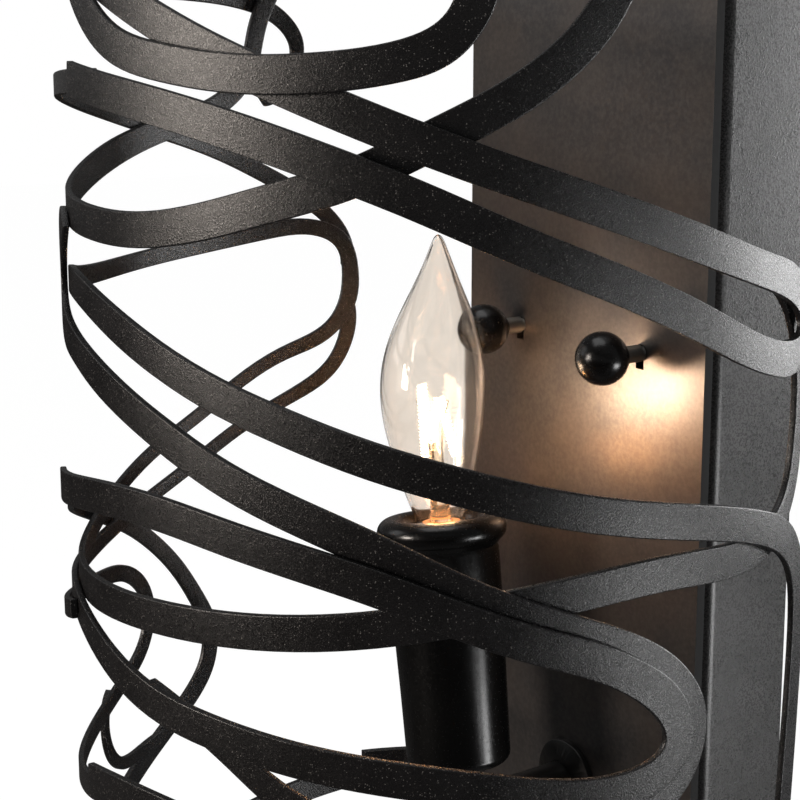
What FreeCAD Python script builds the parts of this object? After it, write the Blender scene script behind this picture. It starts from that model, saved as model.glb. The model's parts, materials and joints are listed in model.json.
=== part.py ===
import FreeCAD
import Part
import Sketcher

import math
import os

# Candle wall light: a bent steel wall box with a front plate, a candle holder on a
# short arm, and an openwork drum of flat steel ribbons that stands in front of it.
#
# Frame: millimetres, +Z up, the wall is the plane y = 0 and the light stands out
# towards -Y. The origin is on the wall, midway between the two mounting studs.

os.makedirs("parts", exist_ok=True)
doc = FreeCAD.newDocument("candle_wall_light")

# Driving dimensions, in millimetres and degrees

SIZES = [
    # wall box, front plate and their screws
    ("box_width", 111.2),
    ("box_past_top_bracket", 10.0),
    ("box_past_bottom_bracket", 12.0),
    ("box_depth", 34.0),
    ("box_wall", 1.5),
    ("box_bend", 4.5),
    ("plate_thickness", 3.0),
    ("plate_corner", 2.0),
    ("plate_hole", 2.6),
    ("keyhole_width", 3.4),
    ("keyhole_drop", 4.4),
    # mounting strap on the junction box
    ("strap_end_gap", 3.1),
    ("strap_width", 19.0),
    ("strap_thickness", 2.0),
    ("strap_slot_radius", 2.4),
    ("strap_slot_length", 12.0),
    ("strap_slot_margin", 9.0),
    ("ground_screw_radius", 2.1),
    ("ground_screw_head_radius", 4.1),
    ("ground_screw_head_height", 2.6),
    ("screw_slot_width", 1.0),
    ("ground_screw_drop", 6.0),
    ("ground_screw_inside_stud", 11.6),
    # studs and ball nuts
    ("stud_inside_slot", 13.4),
    ("stud_radius", 2.05),
    ("stud_past_plate", 15.7),
    ("stud_nut_flats", 8.7),
    ("stud_nut_height", 3.2),
    ("ball_radius", 7.95),
    ("ball_foot_radius", 3.6),
    ("ball_reach", 14.7),
    ("ball_hole_depth", 16.3),
    ("turning_gap", 0.15),
    ("seat_gap", 0.3),
    # arm and candle
    ("arm_reach", 42.5),
    ("arm_above_bracket", 32.3),
    ("arm_radius", 6.35),
    ("arm_wall", 1.2),
    ("arm_flange_radius", 13.0),
    ("arm_flange_height", 4.0),
    ("arm_nut_flats", 19.0),
    ("arm_nut_height", 4.0),
    ("arm_washer_radius", 11.5),
    ("arm_washer_height", 1.2),
    ("arm_tail", 8.5),
    ("elbow_radius", 9.5),
    ("nipple_radius", 4.8),
    ("nipple_bore", 3.3),
    ("nipple_above_cup", 9.0),
    ("cup_rise", 16.0),
    ("cup_height", 77.0),
    ("cup_body_radius", 17.2),
    ("cup_foot_radius", 16.2),
    ("cup_neck_radius", 17.8),
    ("cup_rim_radius", 20.2),
    ("cup_rim_bead", 4.3),
    ("cup_wall", 1.3),
    ("cup_corner", 3.2),
    ("inner_nut_flats", 15.0),
    ("inner_nut_height", 3.2),
    ("socket_radius", 10.5),
    ("socket_height", 27.0),
    ("socket_floor", 6.0),
    ("socket_bore", 6.2),
    ("socket_shell_wall", 0.4),
    ("socket_top_drop", 1.5),
    ("socket_tab_radius", 2.2),
    ("socket_stem_flats", 12.7),
    # bulb
    ("base_radius", 5.9),
    ("base_height", 17.5),
    ("base_collar_height", 3.0),
    ("base_insulator_radius", 3.9),
    ("base_insulator_height", 2.2),
    ("base_button_radius", 1.9),
    ("base_button_height", 0.9),
    ("glass_wall", 0.8),
    ("glass_start_rise", 2.7),
    ("glass_length", 88.5),
    ("glass_belly_radius", 16.6),
    ("glass_tip_bend", 5.7),
    ("stem_radius", 3.4),
    ("stem_length", 22.0),
    ("stem_tube_length", 10.0),
    ("filament_radius", 0.5),
    ("filament_rise", 47.0),
    ("filament_spread", 8.5),
    ("filament_drop", 9.0),
    ("filament_wire", 0.35),
    # wires inside the wall box
    ("lead_radius", 1.1),
    ("lead_bend", 6.0),
    ("lead_rise", 34.0),
    ("lead_side", 26.0),
    ("wire_nut_radius", 5.2),
    ("wire_nut_tip_radius", 3.0),
    ("wire_nut_length", 19.0),
    # drum of ribbons
    ("drum_radius", 110.7),
    ("drum_reach", 51.0),
    ("ribbon_width", 9.0),
    ("ribbon_thickness", 1.8),
    ("ribbon_gap", 0.3),
    ("band_end_gap", 0.74),
    # brackets that carry the drum
    ("bracket_width", 14.0),
    ("bracket_thickness", 2.5),
    ("bracket_up", 140.0),
    ("bracket_down", 178.0),
    ("bracket_screw_spread", 70.0),
    ("bracket_screw_radius", 2.0),
    ("bracket_screw_length", 9.0),
    ("bracket_screw_head_radius", 3.8),
    ("bracket_screw_head_height", 2.3),
    ("bracket_tab", 16.0),
    ("band_screw_radius", 1.5),
    ("band_screw_head_radius", 3.2),
    ("band_screw_head_height", 1.8),
    ("band_screw_seat_gap", 0.05),
]

ANGLES = [
    ("candle_lean", 9.7),
    ("candle_lean_bearing", 173.0),
    ("tip_bearing", 56.0),
]

sheet = doc.addObject("Spreadsheet::Sheet", "sizes")
for row, (alias, value) in enumerate(SIZES + ANGLES, start=1):
    sheet.set("A%d" % row, alias.replace("_", " "))
    sheet.set("B%d" % row, str(value))
    sheet.setAlias("B%d" % row, alias)
doc.recompute()


def val(expression):
    """The number that an expression on the sheet gives."""
    result = sheet.evalExpression(expression)
    return float(getattr(result, "Value", result))


# Places that several pieces share, as expressions on the sheet

PLATE_BACK = "(-sizes.box_depth)"
PLATE_FRONT = "(-sizes.box_depth - sizes.plate_thickness)"
DRUM_Y = "(-sizes.box_depth - sizes.plate_thickness - sizes.drum_reach)"
ELBOW_Y = "(-sizes.box_depth - sizes.plate_thickness - sizes.arm_reach)"
BOX_ABOVE = "(sizes.bracket_up + sizes.box_past_top_bracket)"
BOX_BELOW = "(sizes.bracket_down + sizes.box_past_bottom_bracket)"
ARM_Z = "(sizes.arm_above_bracket - sizes.bracket_down)"
STRAP_LENGTH = "(sizes.box_width - 2 * sizes.box_wall - 2 * sizes.strap_end_gap)"
SLOT_X = "(%s / 2 - sizes.strap_slot_margin)" % STRAP_LENGTH
STUD_X = "(%s - sizes.stud_inside_slot)" % SLOT_X
STRAP_FRONT = "(-sizes.strap_thickness)"

nodes = []


# Helpers that make, bind, place and name the sub-parts


def bind(obj, **expressions):
    """Ties properties to the sheet; a double underscore stands for a dot."""
    for name, expression in expressions.items():
        obj.setExpression(name.replace("__", "."), str(expression))
    return obj


def place(obj, x="0", y="0", z="0", rotation=None):
    """Puts an object at a place given by expressions, turned by a rotation."""
    turn = rotation or FreeCAD.Rotation()
    obj.Placement = FreeCAD.Placement(FreeCAD.Vector(val(x), val(y), val(z)), turn)
    bind(obj, Placement__Base__x=x, Placement__Base__y=y, Placement__Base__z=z)
    return obj


def node(obj, label):
    """Marks an object as a sub-part, which is written to a file of that name."""
    obj.Label = label
    nodes.append(obj)
    return obj


def facing(direction):
    """The rotation that turns +Z to a direction."""
    return FreeCAD.Rotation(FreeCAD.Vector(0, 0, 1), FreeCAD.Vector(*direction))


TO_WALL = facing((0, 1, 0))
FROM_WALL = facing((0, -1, 0))


def box(name, length, width, height, x, y, z):
    obj = doc.addObject("Part::Box", name)
    bind(obj, Length=length, Width=width, Height=height)
    return place(obj, x, y, z)


def cylinder(name, radius, height, x="0", y="0", z="0", rotation=None):
    obj = doc.addObject("Part::Cylinder", name)
    bind(obj, Radius=radius, Height=height)
    return place(obj, x, y, z, rotation)


def cone(name, radius_low, radius_high, height, x="0", y="0", z="0", rotation=None):
    obj = doc.addObject("Part::Cone", name)
    bind(obj, Radius1=radius_low, Radius2=radius_high, Height=height)
    return place(obj, x, y, z, rotation)


def prism(name, flats, height, x="0", y="0", z="0", rotation=None):
    """A hexagon of a given width across its flats."""
    obj = doc.addObject("Part::Prism", name)
    obj.Polygon = 6
    bind(obj, Circumradius="(%s) / sqrt(3)" % flats, Height=height)
    return place(obj, x, y, z, rotation)


def joined(name, *shapes):
    obj = doc.addObject("Part::MultiFuse", name)
    obj.Shapes = list(shapes)
    obj.Refine = True
    return obj


def drilled(name, base, *tools):
    """A base with one or more tools cut away."""
    tool = tools[0] if len(tools) == 1 else joined(name + "_tools", *tools)
    obj = doc.addObject("Part::Cut", name)
    obj.Base = base
    obj.Tool = tool
    return obj


def group(name, *shapes):
    """Separate solids that share one node."""
    obj = doc.addObject("Part::Compound", name)
    obj.Links = list(shapes)
    return obj


def rounded(name, base, radius, pick):
    """Fillets the edges of a base that pick chooses."""
    doc.recompute()
    obj = doc.addObject("Part::Fillet", name)
    obj.Base = base
    size = val(radius)
    chosen = [i for i, edge in enumerate(base.Shape.Edges, start=1) if pick(edge)]
    obj.Edges = [(i, size, size) for i in chosen]
    return obj


def profile(sketch, corners):
    """A closed outline whose corners are pairs of expressions on the sheet."""
    count = len(corners)
    points = [FreeCAD.Vector(val(across), val(up), 0) for across, up in corners]
    for i in range(count):
        sketch.addGeometry(Part.LineSegment(points[i], points[(i + 1) % count]), False)
    for i in range(count):
        sketch.addConstraint(Sketcher.Constraint("Coincident", i, 2, (i + 1) % count, 1))
    for i, (across, up) in enumerate(corners):
        for kind, expression, axis in (("DistanceX", across, -2), ("DistanceY", up, -1)):
            if expression == "0":
                sketch.addConstraint(Sketcher.Constraint("PointOnObject", i, 1, axis))
                continue
            size = Sketcher.Constraint(kind, -1, 1, i, 1, val(expression))
            index = sketch.addConstraint(size)
            sketch.setExpression("Constraints[%d]" % index, expression)


def new_body(name, plane="XZ_Plane"):
    """A body with one sketch on an origin plane."""
    body = doc.addObject("PartDesign::Body", name)
    sketch = body.newObject("Sketcher::SketchObject", name + "_outline")
    origin = [f for f in body.Origin.OriginFeatures if f.Role == plane][0]
    sketch.AttachmentSupport = [(origin, "")]
    sketch.MapMode = "FlatFace"
    return body, sketch


def turned(name, corners, rounding=()):
    """A body of revolution about +Z; rounding lists (radius, pick) pairs."""
    body, sketch = new_body(name)
    profile(sketch, corners)
    turn = body.newObject("PartDesign::Revolution", name + "_turn")
    turn.Profile = sketch
    turn.ReferenceAxis = (sketch, ["V_Axis"])
    turn.Angle = 360
    doc.recompute()
    for index, (radius, pick) in enumerate(rounding):
        fillet = body.newObject("PartDesign::Fillet", "%s_round_%d" % (name, index))
        base = body.Tip if body.Tip != fillet else turn
        edges = ["Edge%d" % i for i, e in enumerate(base.Shape.Edges, 1) if pick(e)]
        fillet.Base = (base, edges)
        bind(fillet, Radius=radius)
        body.Tip = fillet
        doc.recompute()
    return body


def ring_at(radius, height):
    """Picks the circular edge of a given radius and height, both expressions."""

    def pick(edge):
        if not hasattr(edge.Curve, "Radius"):
            return False
        room = val(radius) * PICK_SHARE
        near_radius = abs(edge.Curve.Radius - val(radius)) < room
        return near_radius and abs(edge.Curve.Center.z - val(height)) < room

    return pick


# Closeness, as a share of the radius, at which an edge counts as the one looked for
PICK_SHARE = 1e-4


# Ribbon drum

# A path row is: degrees round from the front, positive towards +X; height above the
# studs in 360ths of the drum's height; layer, 0 inside to 2 outside; share of the
# full ribbon width.
PATH_SHARES = {
    "ribbon_wide_swirl": [
        (99.5, -178, 2, 1), (104.5, -165, 1.5, 1), (108.5, -150, 1, 1), (111.5, -132, 1, 1),
        (113, -114, 1, 1), (114, -96, 1, 1), (114.8, -78, 1, 1), (115.2, -62, 1, 1),
        (114.3, -48, 1, 1), (110.5, -37, 1, 1), (102, -28.5, 1, 1), (88, -22, 1, 1),
        (73, -16.5, 1, 1), (58, -9.5, 0.8, 1), (45, -3, 0.4, 1), (33, 3.5, 0, 1),
        (24, 8.5, 0, 1), (15, 14, 0, 1), (6, 19.5, 0, 1), (-4, 24.5, 0, 0.95),
        (-16, 27, 0, 0.9), (-30, 24.5, 0, 0.75), (-44, 22, 0, 0.65), (-60, 22, 0, 0.62),
        (-76, 23.5, 0, 0.62), (-90, 26, 0, 0.62), (-99.5, 26.5, 0, 0.62),
        (-105.5, 21, 0, 0.66), (-107.2, 10, 0, 0.7), (-106.2, -2, 0, 0.7),
        (-102.5, -10.5, 0, 0.6), (-94, -17, 0, 0.55), (-84, -25, 0, 0.52),
        (-74, -34, 0, 0.52), (-63, -41, 0, 0.52), (-52, -47.5, 0, 0.55),
        (-40, -53.5, 0, 0.65), (-27, -56.5, 0, 0.85), (-13, -56, 0, 1), (2, -53.5, 0, 1),
        (16, -51, 0, 1), (30, -48.5, 0, 1), (44, -45, 0, 1), (58, -40.5, 0, 1),
        (72, -36.5, 0, 1), (86, -34.5, 0, 1), (99, -35.5, 0, 1), (108, -32, 0, 0.9),
        (113, -23, 0, 0.8), (115, -9, 0, 0.75), (115, 7, 0, 0.75), (112.5, 21, 0, 0.75),
        (107, 32, 0, 0.75), (97, 39, 0, 0.75),
    ],
    "ribbon_high_swirl": [
        (-95, 151, 0, 0.9), (-97, 137, 0, 0.8), (-95.5, 120, 0, 0.75),
        (-91.5, 106, 0, 0.75), (-88.5, 93, 0, 0.75), (-86.5, 80, 0, 0.75),
        (-80, 69.5, 0, 0.8), (-68, 63, 0, 0.85), (-56, 58.5, 0, 0.95), (-44, 53.5, 0, 1),
        (-31, 49, 0, 1), (-17, 46.5, 0, 1), (-3, 45.5, 0, 1), (10, 46, 0, 1),
        (22, 49.5, 0, 1), (33, 55, 0, 1), (44, 61.5, 0, 1), (53, 69.5, 0, 1),
        (62, 78, 0, 1), (69, 87, 0, 1), (74, 97, 0, 1), (77.5, 110, 0, 1),
        (80.5, 125, 0, 1), (85, 139, 0, 1), (92, 151, 0, 1),
    ],
    "ribbon_deep_swirl": [
        (-15, 45, 1, 0.85), (-20, 35, 1, 0.9), (-21.5, 25, 1, 1), (-18, 17, 1, 1),
        (-10, 12, 1, 1), (-1, 7.5, 1, 1), (8, 2, 1, 1), (16, -3.5, 1, 1), (26, -11, 1, 1),
        (36, -17.5, 1, 1), (46, -24.5, 1, 1), (55, -32.5, 1, 1), (64, -40, 1, 1),
        (73, -46.5, 1, 1), (80.5, -53, 1, 1), (86.5, -62, 1, 1), (89.5, -73, 1, 1),
        (88.5, -84, 0.8, 1), (84, -93, 0.5, 1), (76, -99, 0.2, 1), (65, -101.5, 0, 1),
        (53, -100.5, 0, 1), (42, -96.5, 0, 0.95), (33, -90, 0, 0.85), (26, -82.5, 0, 0.75),
        (19, -76.5, 0, 0.7), (10, -72, 0, 0.7),
    ],
    "ribbon_front_swirl": [
        (-21.5, -31.5, 2, 1), (-8, -27, 2, 1), (6, -23, 2, 1), (17, -22.5, 2, 1),
        (28, -25, 2, 1), (38, -28.5, 2, 1), (48, -33.5, 2, 1), (57, -40, 2, 1),
        (66, -46.5, 2, 1), (74, -52, 2, 1), (80.5, -59, 2, 1), (85, -67.5, 2, 1),
        (86.2, -76, 2, 1), (83.5, -83, 1.8, 1), (77.5, -86.2, 1.4, 1), (69, -85.8, 1, 1),
        (58, -82.5, 1, 1), (46, -80, 1, 1), (34, -78, 1, 1), (23, -76, 1, 1),
        (13, -74, 1, 1), (4, -70.5, 1, 1), (-6, -65.5, 1, 0.95), (-18, -62, 1, 0.85),
        (-32, -62.5, 1, 0.7), (-46, -62.5, 1, 0.58), (-60, -58.5, 1, 0.52),
        (-73, -51.5, 1, 0.52), (-85, -41.5, 1, 0.52), (-96, -33, 1, 0.55),
        (-103.5, -24, 1, 0.6), (-106.6, -13, 1, 0.62), (-107, -2, 1, 0.6),
    ],
    "ribbon_hairpin_swirl": [
        (-46, 148, 2, 1), (-36, 137, 1.5, 1), (-23, 126, 1, 1), (-10, 116.5, 1, 1),
        (3, 106.5, 1, 1), (13, 98.5, 1, 1), (23, 90.5, 1, 1), (33, 83, 1, 1),
        (44, 75, 1, 1), (56, 66.5, 1, 1), (68, 58.5, 1, 1), (80, 50.5, 1, 1),
        (91, 43, 1, 1), (102, 36, 1.1, 1), (109.5, 29, 1.4, 0.9), (111.5, 21, 1.7, 0.85),
        (108.5, 15, 2, 0.9), (102, 15, 2, 1), (89, 25.5, 2, 1), (76, 37, 2, 1),
        (64, 46.5, 2, 1), (52, 56.5, 2, 1), (40, 65, 2, 1), (28, 71.8, 2, 1),
        (16, 76.6, 2, 1), (6, 79.4, 2, 1), (-4, 81.8, 2, 1),
    ],
    "ribbon_upper_crook": [
        (-15, 149, 2, 1), (-9.5, 133, 2, 1), (-4.5, 118, 2, 1), (-1, 106, 2, 1),
        (2.8, 98, 2, 1), (9, 90.6, 2, 1), (18, 86.5, 2, 1), (29, 84.2, 2, 1),
        (40, 84.5, 2, 1), (49, 86.8, 2, 1), (55, 91.5, 2, 1), (58, 99.5, 2, 1),
        (59, 110, 2, 1), (61.5, 124, 2, 1), (68, 137, 2, 1), (78, 146, 2, 1),
        (90, 149, 2, 1), (102, 147, 2, 1),
    ],
    "ribbon_top_crook": [
        (20, 152, 2, 1), (20.5, 138, 2, 1), (25.5, 126, 2, 1), (35, 119.5, 2, 1),
        (44.5, 122, 2, 1), (50.5, 131, 2, 1), (52, 144, 2, 1), (50, 154, 2, 1),
    ],
    "ribbon_long_lobe": [
        (-8, -28, 1, 0.8), (-19, -33.5, 1, 0.8), (-29, -40.5, 1.5, 0.78),
        (-38, -47.5, 2, 0.74), (-48, -56, 2, 0.7), (-57, -65, 2, 0.66), (-64, -75, 2, 0.64),
        (-70, -87, 2, 0.64), (-74.5, -100, 2, 0.66), (-77.3, -113, 2, 0.7),
        (-76.5, -125, 2, 0.74), (-71.5, -136, 2, 0.78), (-62.5, -146, 2, 0.82),
        (-50, -156.5, 2, 0.9), (-35, -167, 2, 1), (-17, -176.5, 2, 1), (3, -184, 2, 1),
        (22, -189, 2, 1), (40, -192, 2, 1),
    ],
    "ribbon_short_lobe": [
        (-12, -62.5, 2, 0.6), (-24, -68.5, 2, 0.6), (-36, -73, 1.4, 0.6),
        (-46, -75.5, 1, 0.6), (-54, -79.5, 1, 0.6), (-59, -87.5, 1, 0.6),
        (-60.5, -97, 1, 0.6), (-58.5, -107, 1, 0.6), (-52, -114.5, 1, 0.6),
        (-41, -119, 1, 0.62), (-28, -119, 1, 0.68), (-15, -115, 1, 0.75),
        (-3, -109, 1, 0.8),
    ],
    "ribbon_small_lobe": [
        (-49, -116, 2, 0.5), (-46, -125, 1.9, 0.45), (-46, -134, 1.3, 0.45),
        (-49.5, -141, 1, 0.45), (-56, -143, 1, 0.45), (-64, -143, 1, 0.5),
    ],
    "ribbon_low_swirl": [
        (-5, -106.5, 2, 1), (8, -102, 2, 1), (21, -101.5, 2, 1), (35, -105, 2, 1),
        (49, -111.5, 2, 1), (64, -120.5, 2, 1), (80, -130.5, 2, 1), (97, -139.5, 2, 1),
        (116, -147, 2, 1),
    ],
    "ribbon_bottom_swirl": [
        (-72, -189, 0, 1), (-62, -178, 0, 1), (-50, -167, 0, 1), (-36, -157, 0, 1),
        (-20, -149, 0, 1), (-3, -143.5, 0, 1), (14, -142, 0, 1), (30, -145, 0, 1),
        (46, -151, 0, 1), (62, -158.5, 0, 1), (78, -166.5, 0, 1), (92, -173.5, 0, 1),
        (103, -180, 0, 1),
    ],
    "ribbon_back_link": [
        (2, 81.5, 1, 0.7), (-12, 80.5, 1, 0.7), (-27, 78, 1, 0.68), (-42, 73.5, 1, 0.65),
        (-56, 68, 1, 0.65), (-69, 61.5, 1, 0.65), (-81, 54, 1, 0.65), (-91, 45, 1, 0.65),
        (-99.5, 35.5, 1, 0.65), (-105, 25.5, 1, 0.62), (-107, 13, 1, 0.6),
    ],
    "ribbon_top_link": [
        (3, 106.5, 0, 0.6), (-8, 110, 0, 0.6), (-18, 111.3, 0, 0.6), (-31, 110.5, 0.6, 0.6),
        (-45, 108.5, 1, 0.6),
        (-61, 107, 1, 0.6), (-76, 106, 1, 0.62), (-87, 103.5, 1, 0.65),
        (-94, 98, 1, 0.65), (-97.3, 89, 1, 0.6), (-96, 79, 1, 0.55), (-90, 70.5, 1, 0.55),
    ],
}

# The two bands end level with the brackets that carry them
BAND_SHARES = {
    "ribbon_top_band": (140, [
        (0, 0), (18, 6), (38, 12), (60, 14), (84, 11), (106, 13), (130, 10),
        (154, 14), (178, 12), (200, 10), (218, 5), (234, 0),
    ]),
    "ribbon_bottom_band": (-178, [
        (0, 0), (18, -5), (38, -10), (60, -14), (84, -16), (106, -14), (130, -17),
        (154, -15), (178, -12), (200, -8), (218, -3), (234, 0),
    ]),
}

LAYERS = 3


def drum_point(angle, height, radius):
    turn = math.radians(angle)
    x = radius * math.sin(turn)
    y = val(DRUM_Y) - radius * math.cos(turn)
    return FreeCAD.Vector(x, y, height)


def between_rails(first, second):
    """The face ruled between two curves that share their knots."""
    surface = Part.BSplineSurface()
    poles = [list(pair) for pair in zip(first.getPoles(), second.getPoles())]
    knots = first.getKnots()
    mults = first.getMultiplicities()
    surface.buildFromPolesMultsKnots(
        poles, mults, [2, 2], knots, [0.0, 1.0], False, False, first.Degree, 1
    )
    return surface.toShape()


def ribbon(path, radius_out, thickness, width):
    """A flat ribbon bent along a path on a cylinder, as a solid with square ends."""
    pitch = thickness + val("sizes.ribbon_gap")
    middle = [drum_point(angle, height, radius_out) for angle, height, _, _ in path]
    rows = []
    for index, (angle, height, layer, share) in enumerate(path):
        before = path[max(index - 1, 0)]
        after = path[min(index + 1, len(path) - 1)]
        along = math.radians(after[0] - before[0]) * radius_out
        rise = after[1] - before[1]
        length = math.hypot(along, rise)
        half = width * share / 2
        turn = math.degrees(-rise / length * half / radius_out)
        lift = along / length * half
        outer = radius_out - (LAYERS - 1 - layer) * pitch
        rows.append((angle, height, turn, lift, outer))

    def rail(side, depth):
        points = [
            drum_point(angle + side * turn, height + side * lift, outer - depth)
            for angle, height, turn, lift, outer in rows
        ]
        curve = Part.BSplineCurve()
        curve.interpolate(Points=points, Parameters=steps)
        return curve

    steps = [0.0]
    for first, second in zip(middle, middle[1:]):
        steps.append(steps[-1] + first.distanceToPoint(second))
    steps = [step / steps[-1] for step in steps]
    rails = [rail(-1, 0), rail(1, 0), rail(1, thickness), rail(-1, thickness)]
    faces = [between_rails(rails[i], rails[(i + 1) % 4]) for i in range(4)]
    for end in (0.0, 1.0):
        corners = [curve.value(end) for curve in rails]
        wire = Part.makePolygon(corners + corners[:1])
        faces.append(Part.makeFilledFace(wire.Edges))
    shell = Part.makeShell([face for piece in faces for face in piece.Faces])
    shell.sewShape()
    solid = Part.makeSolid(shell)
    if solid.Volume < 0:
        solid.reverse()
    return solid


def scaled_path(path):
    """Turns the shares of a path into heights, laid out between the two brackets."""
    top_share = BAND_SHARES["ribbon_top_band"][0]
    bottom_share = BAND_SHARES["ribbon_bottom_band"][0]
    low = -val("sizes.bracket_down")
    unit = (val("sizes.bracket_up") - low) / (top_share - bottom_share)
    return [
        (angle, low + (height - bottom_share) * unit, layer, share)
        for angle, height, layer, share in path
    ]


def ribbon_node(label, path, tools=()):
    """A ribbon along a path, with the tools cut from it."""
    radius = val("sizes.drum_radius")
    thickness = val("sizes.ribbon_thickness")
    solid = ribbon(scaled_path(path), radius, thickness, val("sizes.ribbon_width"))
    for tool in tools:
        solid = solid.cut(tool)
    obj = doc.addObject("Part::Feature", label)
    obj.Shape = solid
    return node(obj, label)


for label, path in PATH_SHARES.items():
    ribbon_node(label, path)

# The screws that hold the bands stand square to the drum in the middle of the bracket tabs
BAND_OUT = "(sizes.drum_radius - sizes.ribbon_thickness - sizes.ribbon_gap)"
TAB_OUT = "(%s - sizes.ribbon_thickness)" % BAND_OUT
BRACKET_LEVELS = [("top", "sizes.bracket_up"), ("bottom", "(-sizes.bracket_down)")]
SIDES = [("left", -1, "-"), ("right", 1, "")]
BAND_SCREW_BACK = "(sizes.drum_reach - sizes.bracket_tab / 2)"
BAND_SCREW_OUT = "(%s + sizes.band_screw_seat_gap)" % BAND_OUT
BAND_SCREW_X = "sqrt(%s ^ 2 - %s ^ 2)" % (BAND_SCREW_OUT, BAND_SCREW_BACK)
BAND_SCREW_Y = "(%s + %s)" % (DRUM_Y, BAND_SCREW_BACK)


def band_screw_turn(side):
    """The way that a band screw's head faces."""
    return facing((side * val(BAND_SCREW_X), val(BAND_SCREW_BACK), 0))


def band_hole(side, z):
    """The hole that a band screw needs, as a plain shape."""
    inward = band_screw_turn(side).multVec(FreeCAD.Vector(0, 0, -1))
    deep = val("sizes.ribbon_thickness + sizes.bracket_thickness")
    head = FreeCAD.Vector(side * val(BAND_SCREW_X), val(BAND_SCREW_Y), val(z))
    return Part.makeCylinder(val("sizes.band_screw_radius"), 3 * deep, head - inward * deep, inward)


back_share = val("sizes.drum_reach - sizes.band_end_gap") / val("sizes.drum_radius")
open_edge = 90 + math.degrees(math.asin(back_share))
for (label, (level, waves)), (_, bracket_z) in zip(BAND_SHARES.items(), BRACKET_LEVELS):
    reach = waves[-1][0]
    rows = [(2 * open_edge * turn / reach - open_edge, level + rise) for turn, rise in waves]
    tools = [band_hole(side, bracket_z) for _, side, _ in SIDES]
    ribbon_node(label, [(angle, height, 1, 1) for angle, height in rows], tools)
doc.recompute()


# Wall box and front plate

hollow = box(
    "box_hollow",
    "sizes.box_width - 2 * sizes.box_wall",
    "sizes.box_depth - sizes.box_wall",
    BOX_ABOVE + " + " + BOX_BELOW + " - 2 * sizes.box_wall",
    "-sizes.box_width / 2 + sizes.box_wall",
    PLATE_BACK + " + sizes.box_wall",
    "sizes.box_wall - " + BOX_BELOW,
)
outside = box(
    "box_outside",
    "sizes.box_width",
    "sizes.box_depth",
    BOX_ABOVE + " + " + BOX_BELOW,
    "-sizes.box_width / 2",
    PLATE_BACK,
    "-" + BOX_BELOW,
)


def front_edge(edge):
    """Picks the edges round the front of a box that lies with its back on y = 0."""
    level = edge.BoundBox
    return level.YMax < val(PLATE_BACK) / 2


outside_round = rounded("box_outside_round", outside, "sizes.box_bend", front_edge)
hollow_round = rounded(
    "box_hollow_round", hollow, "sizes.box_bend - sizes.box_wall", front_edge
)


def through(name, radius, x, z):
    """A round tool along Y that runs through the box front and the plate."""
    length = "sizes.box_depth + sizes.plate_thickness"
    return cylinder(name, radius, length, x, "-sizes.box_depth / 2", z, FROM_WALL)


def front_holes(name):
    """The holes that the box front and the front plate share."""
    tools = [
        through(name + "_arm", "sizes.arm_radius + sizes.turning_gap", "0", ARM_Z),
    ]
    for side, _, sign in SIDES:
        at = sign + STUD_X
        tools.append(through("%s_stud_%s" % (name, side), "sizes.plate_hole", at, "0"))
        for level, z in BRACKET_LEVELS:
            tools.append(
                through(
                    "%s_screw_%s_%s" % (name, level, side),
                    "sizes.bracket_screw_radius",
                    "%s(sizes.bracket_screw_spread / 2)" % sign,
                    z,
                )
            )
    return tools


node(
    drilled("wall_box_cut", outside_round, hollow_round, *front_holes("box")),
    "wall_box",
)

sheet_metal = box(
    "plate_blank",
    "sizes.box_width",
    "sizes.plate_thickness",
    BOX_ABOVE + " + " + BOX_BELOW,
    "-sizes.box_width / 2",
    PLATE_FRONT,
    "-" + BOX_BELOW,
)
plate_blank = rounded(
    "plate_corners",
    sheet_metal,
    "sizes.plate_corner",
    lambda edge: abs(edge.tangentAt(edge.FirstParameter).y) > 0.99,
)
plate_tools = front_holes("plate")
for side, _, sign in SIDES:
    plate_tools.append(
        box(
            "keyhole_" + side,
            "sizes.keyhole_width",
            "3 * sizes.plate_thickness",
            "sizes.keyhole_drop",
            "%s%s - sizes.keyhole_width / 2" % (sign, STUD_X),
            PLATE_FRONT + " - sizes.plate_thickness",
            "-sizes.plate_hole - sizes.keyhole_drop / 2",
        )
    )
node(drilled("plate_cut", plate_blank, *plate_tools), "front_plate")


# Mounting strap, its screws, studs and ball nuts


def slot(name, x):
    """A long hole for a junction box screw."""
    width = "2 * sizes.strap_slot_radius"
    middle = box(
        name + "_middle",
        "sizes.strap_slot_length - " + width,
        "3 * sizes.strap_thickness",
        width,
        "%s - sizes.strap_slot_length / 2 + sizes.strap_slot_radius" % x,
        "-2 * sizes.strap_thickness",
        "-sizes.strap_slot_radius",
    )
    ends = []
    for end, sign in (("inner", "-"), ("outer", "+")):
        ends.append(
            cylinder(
                "%s_%s" % (name, end),
                "sizes.strap_slot_radius",
                "3 * sizes.strap_thickness",
                "%s %s (sizes.strap_slot_length / 2 - sizes.strap_slot_radius)" % (x, sign),
                "-2 * sizes.strap_thickness",
                "0",
                TO_WALL,
            )
        )
    return [middle] + ends


strap_blank = rounded(
    "strap_blank_round",
    box(
        "strap_blank",
        STRAP_LENGTH,
        "sizes.strap_thickness",
        "sizes.strap_width",
        "-%s / 2" % STRAP_LENGTH,
        STRAP_FRONT,
        "-sizes.strap_width / 2",
    ),
    "sizes.strap_width / 4",
    lambda edge: abs(edge.tangentAt(edge.FirstParameter).y) > 0.99,
)
strap_tools = slot("slot_left", "(-%s)" % SLOT_X)
strap_tools += slot("slot_right", SLOT_X)


def strap_hole(name, radius, x, z):
    length = "3 * sizes.strap_thickness"
    return cylinder(name, radius, length, x, "-2 * sizes.strap_thickness", z, TO_WALL)


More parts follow.
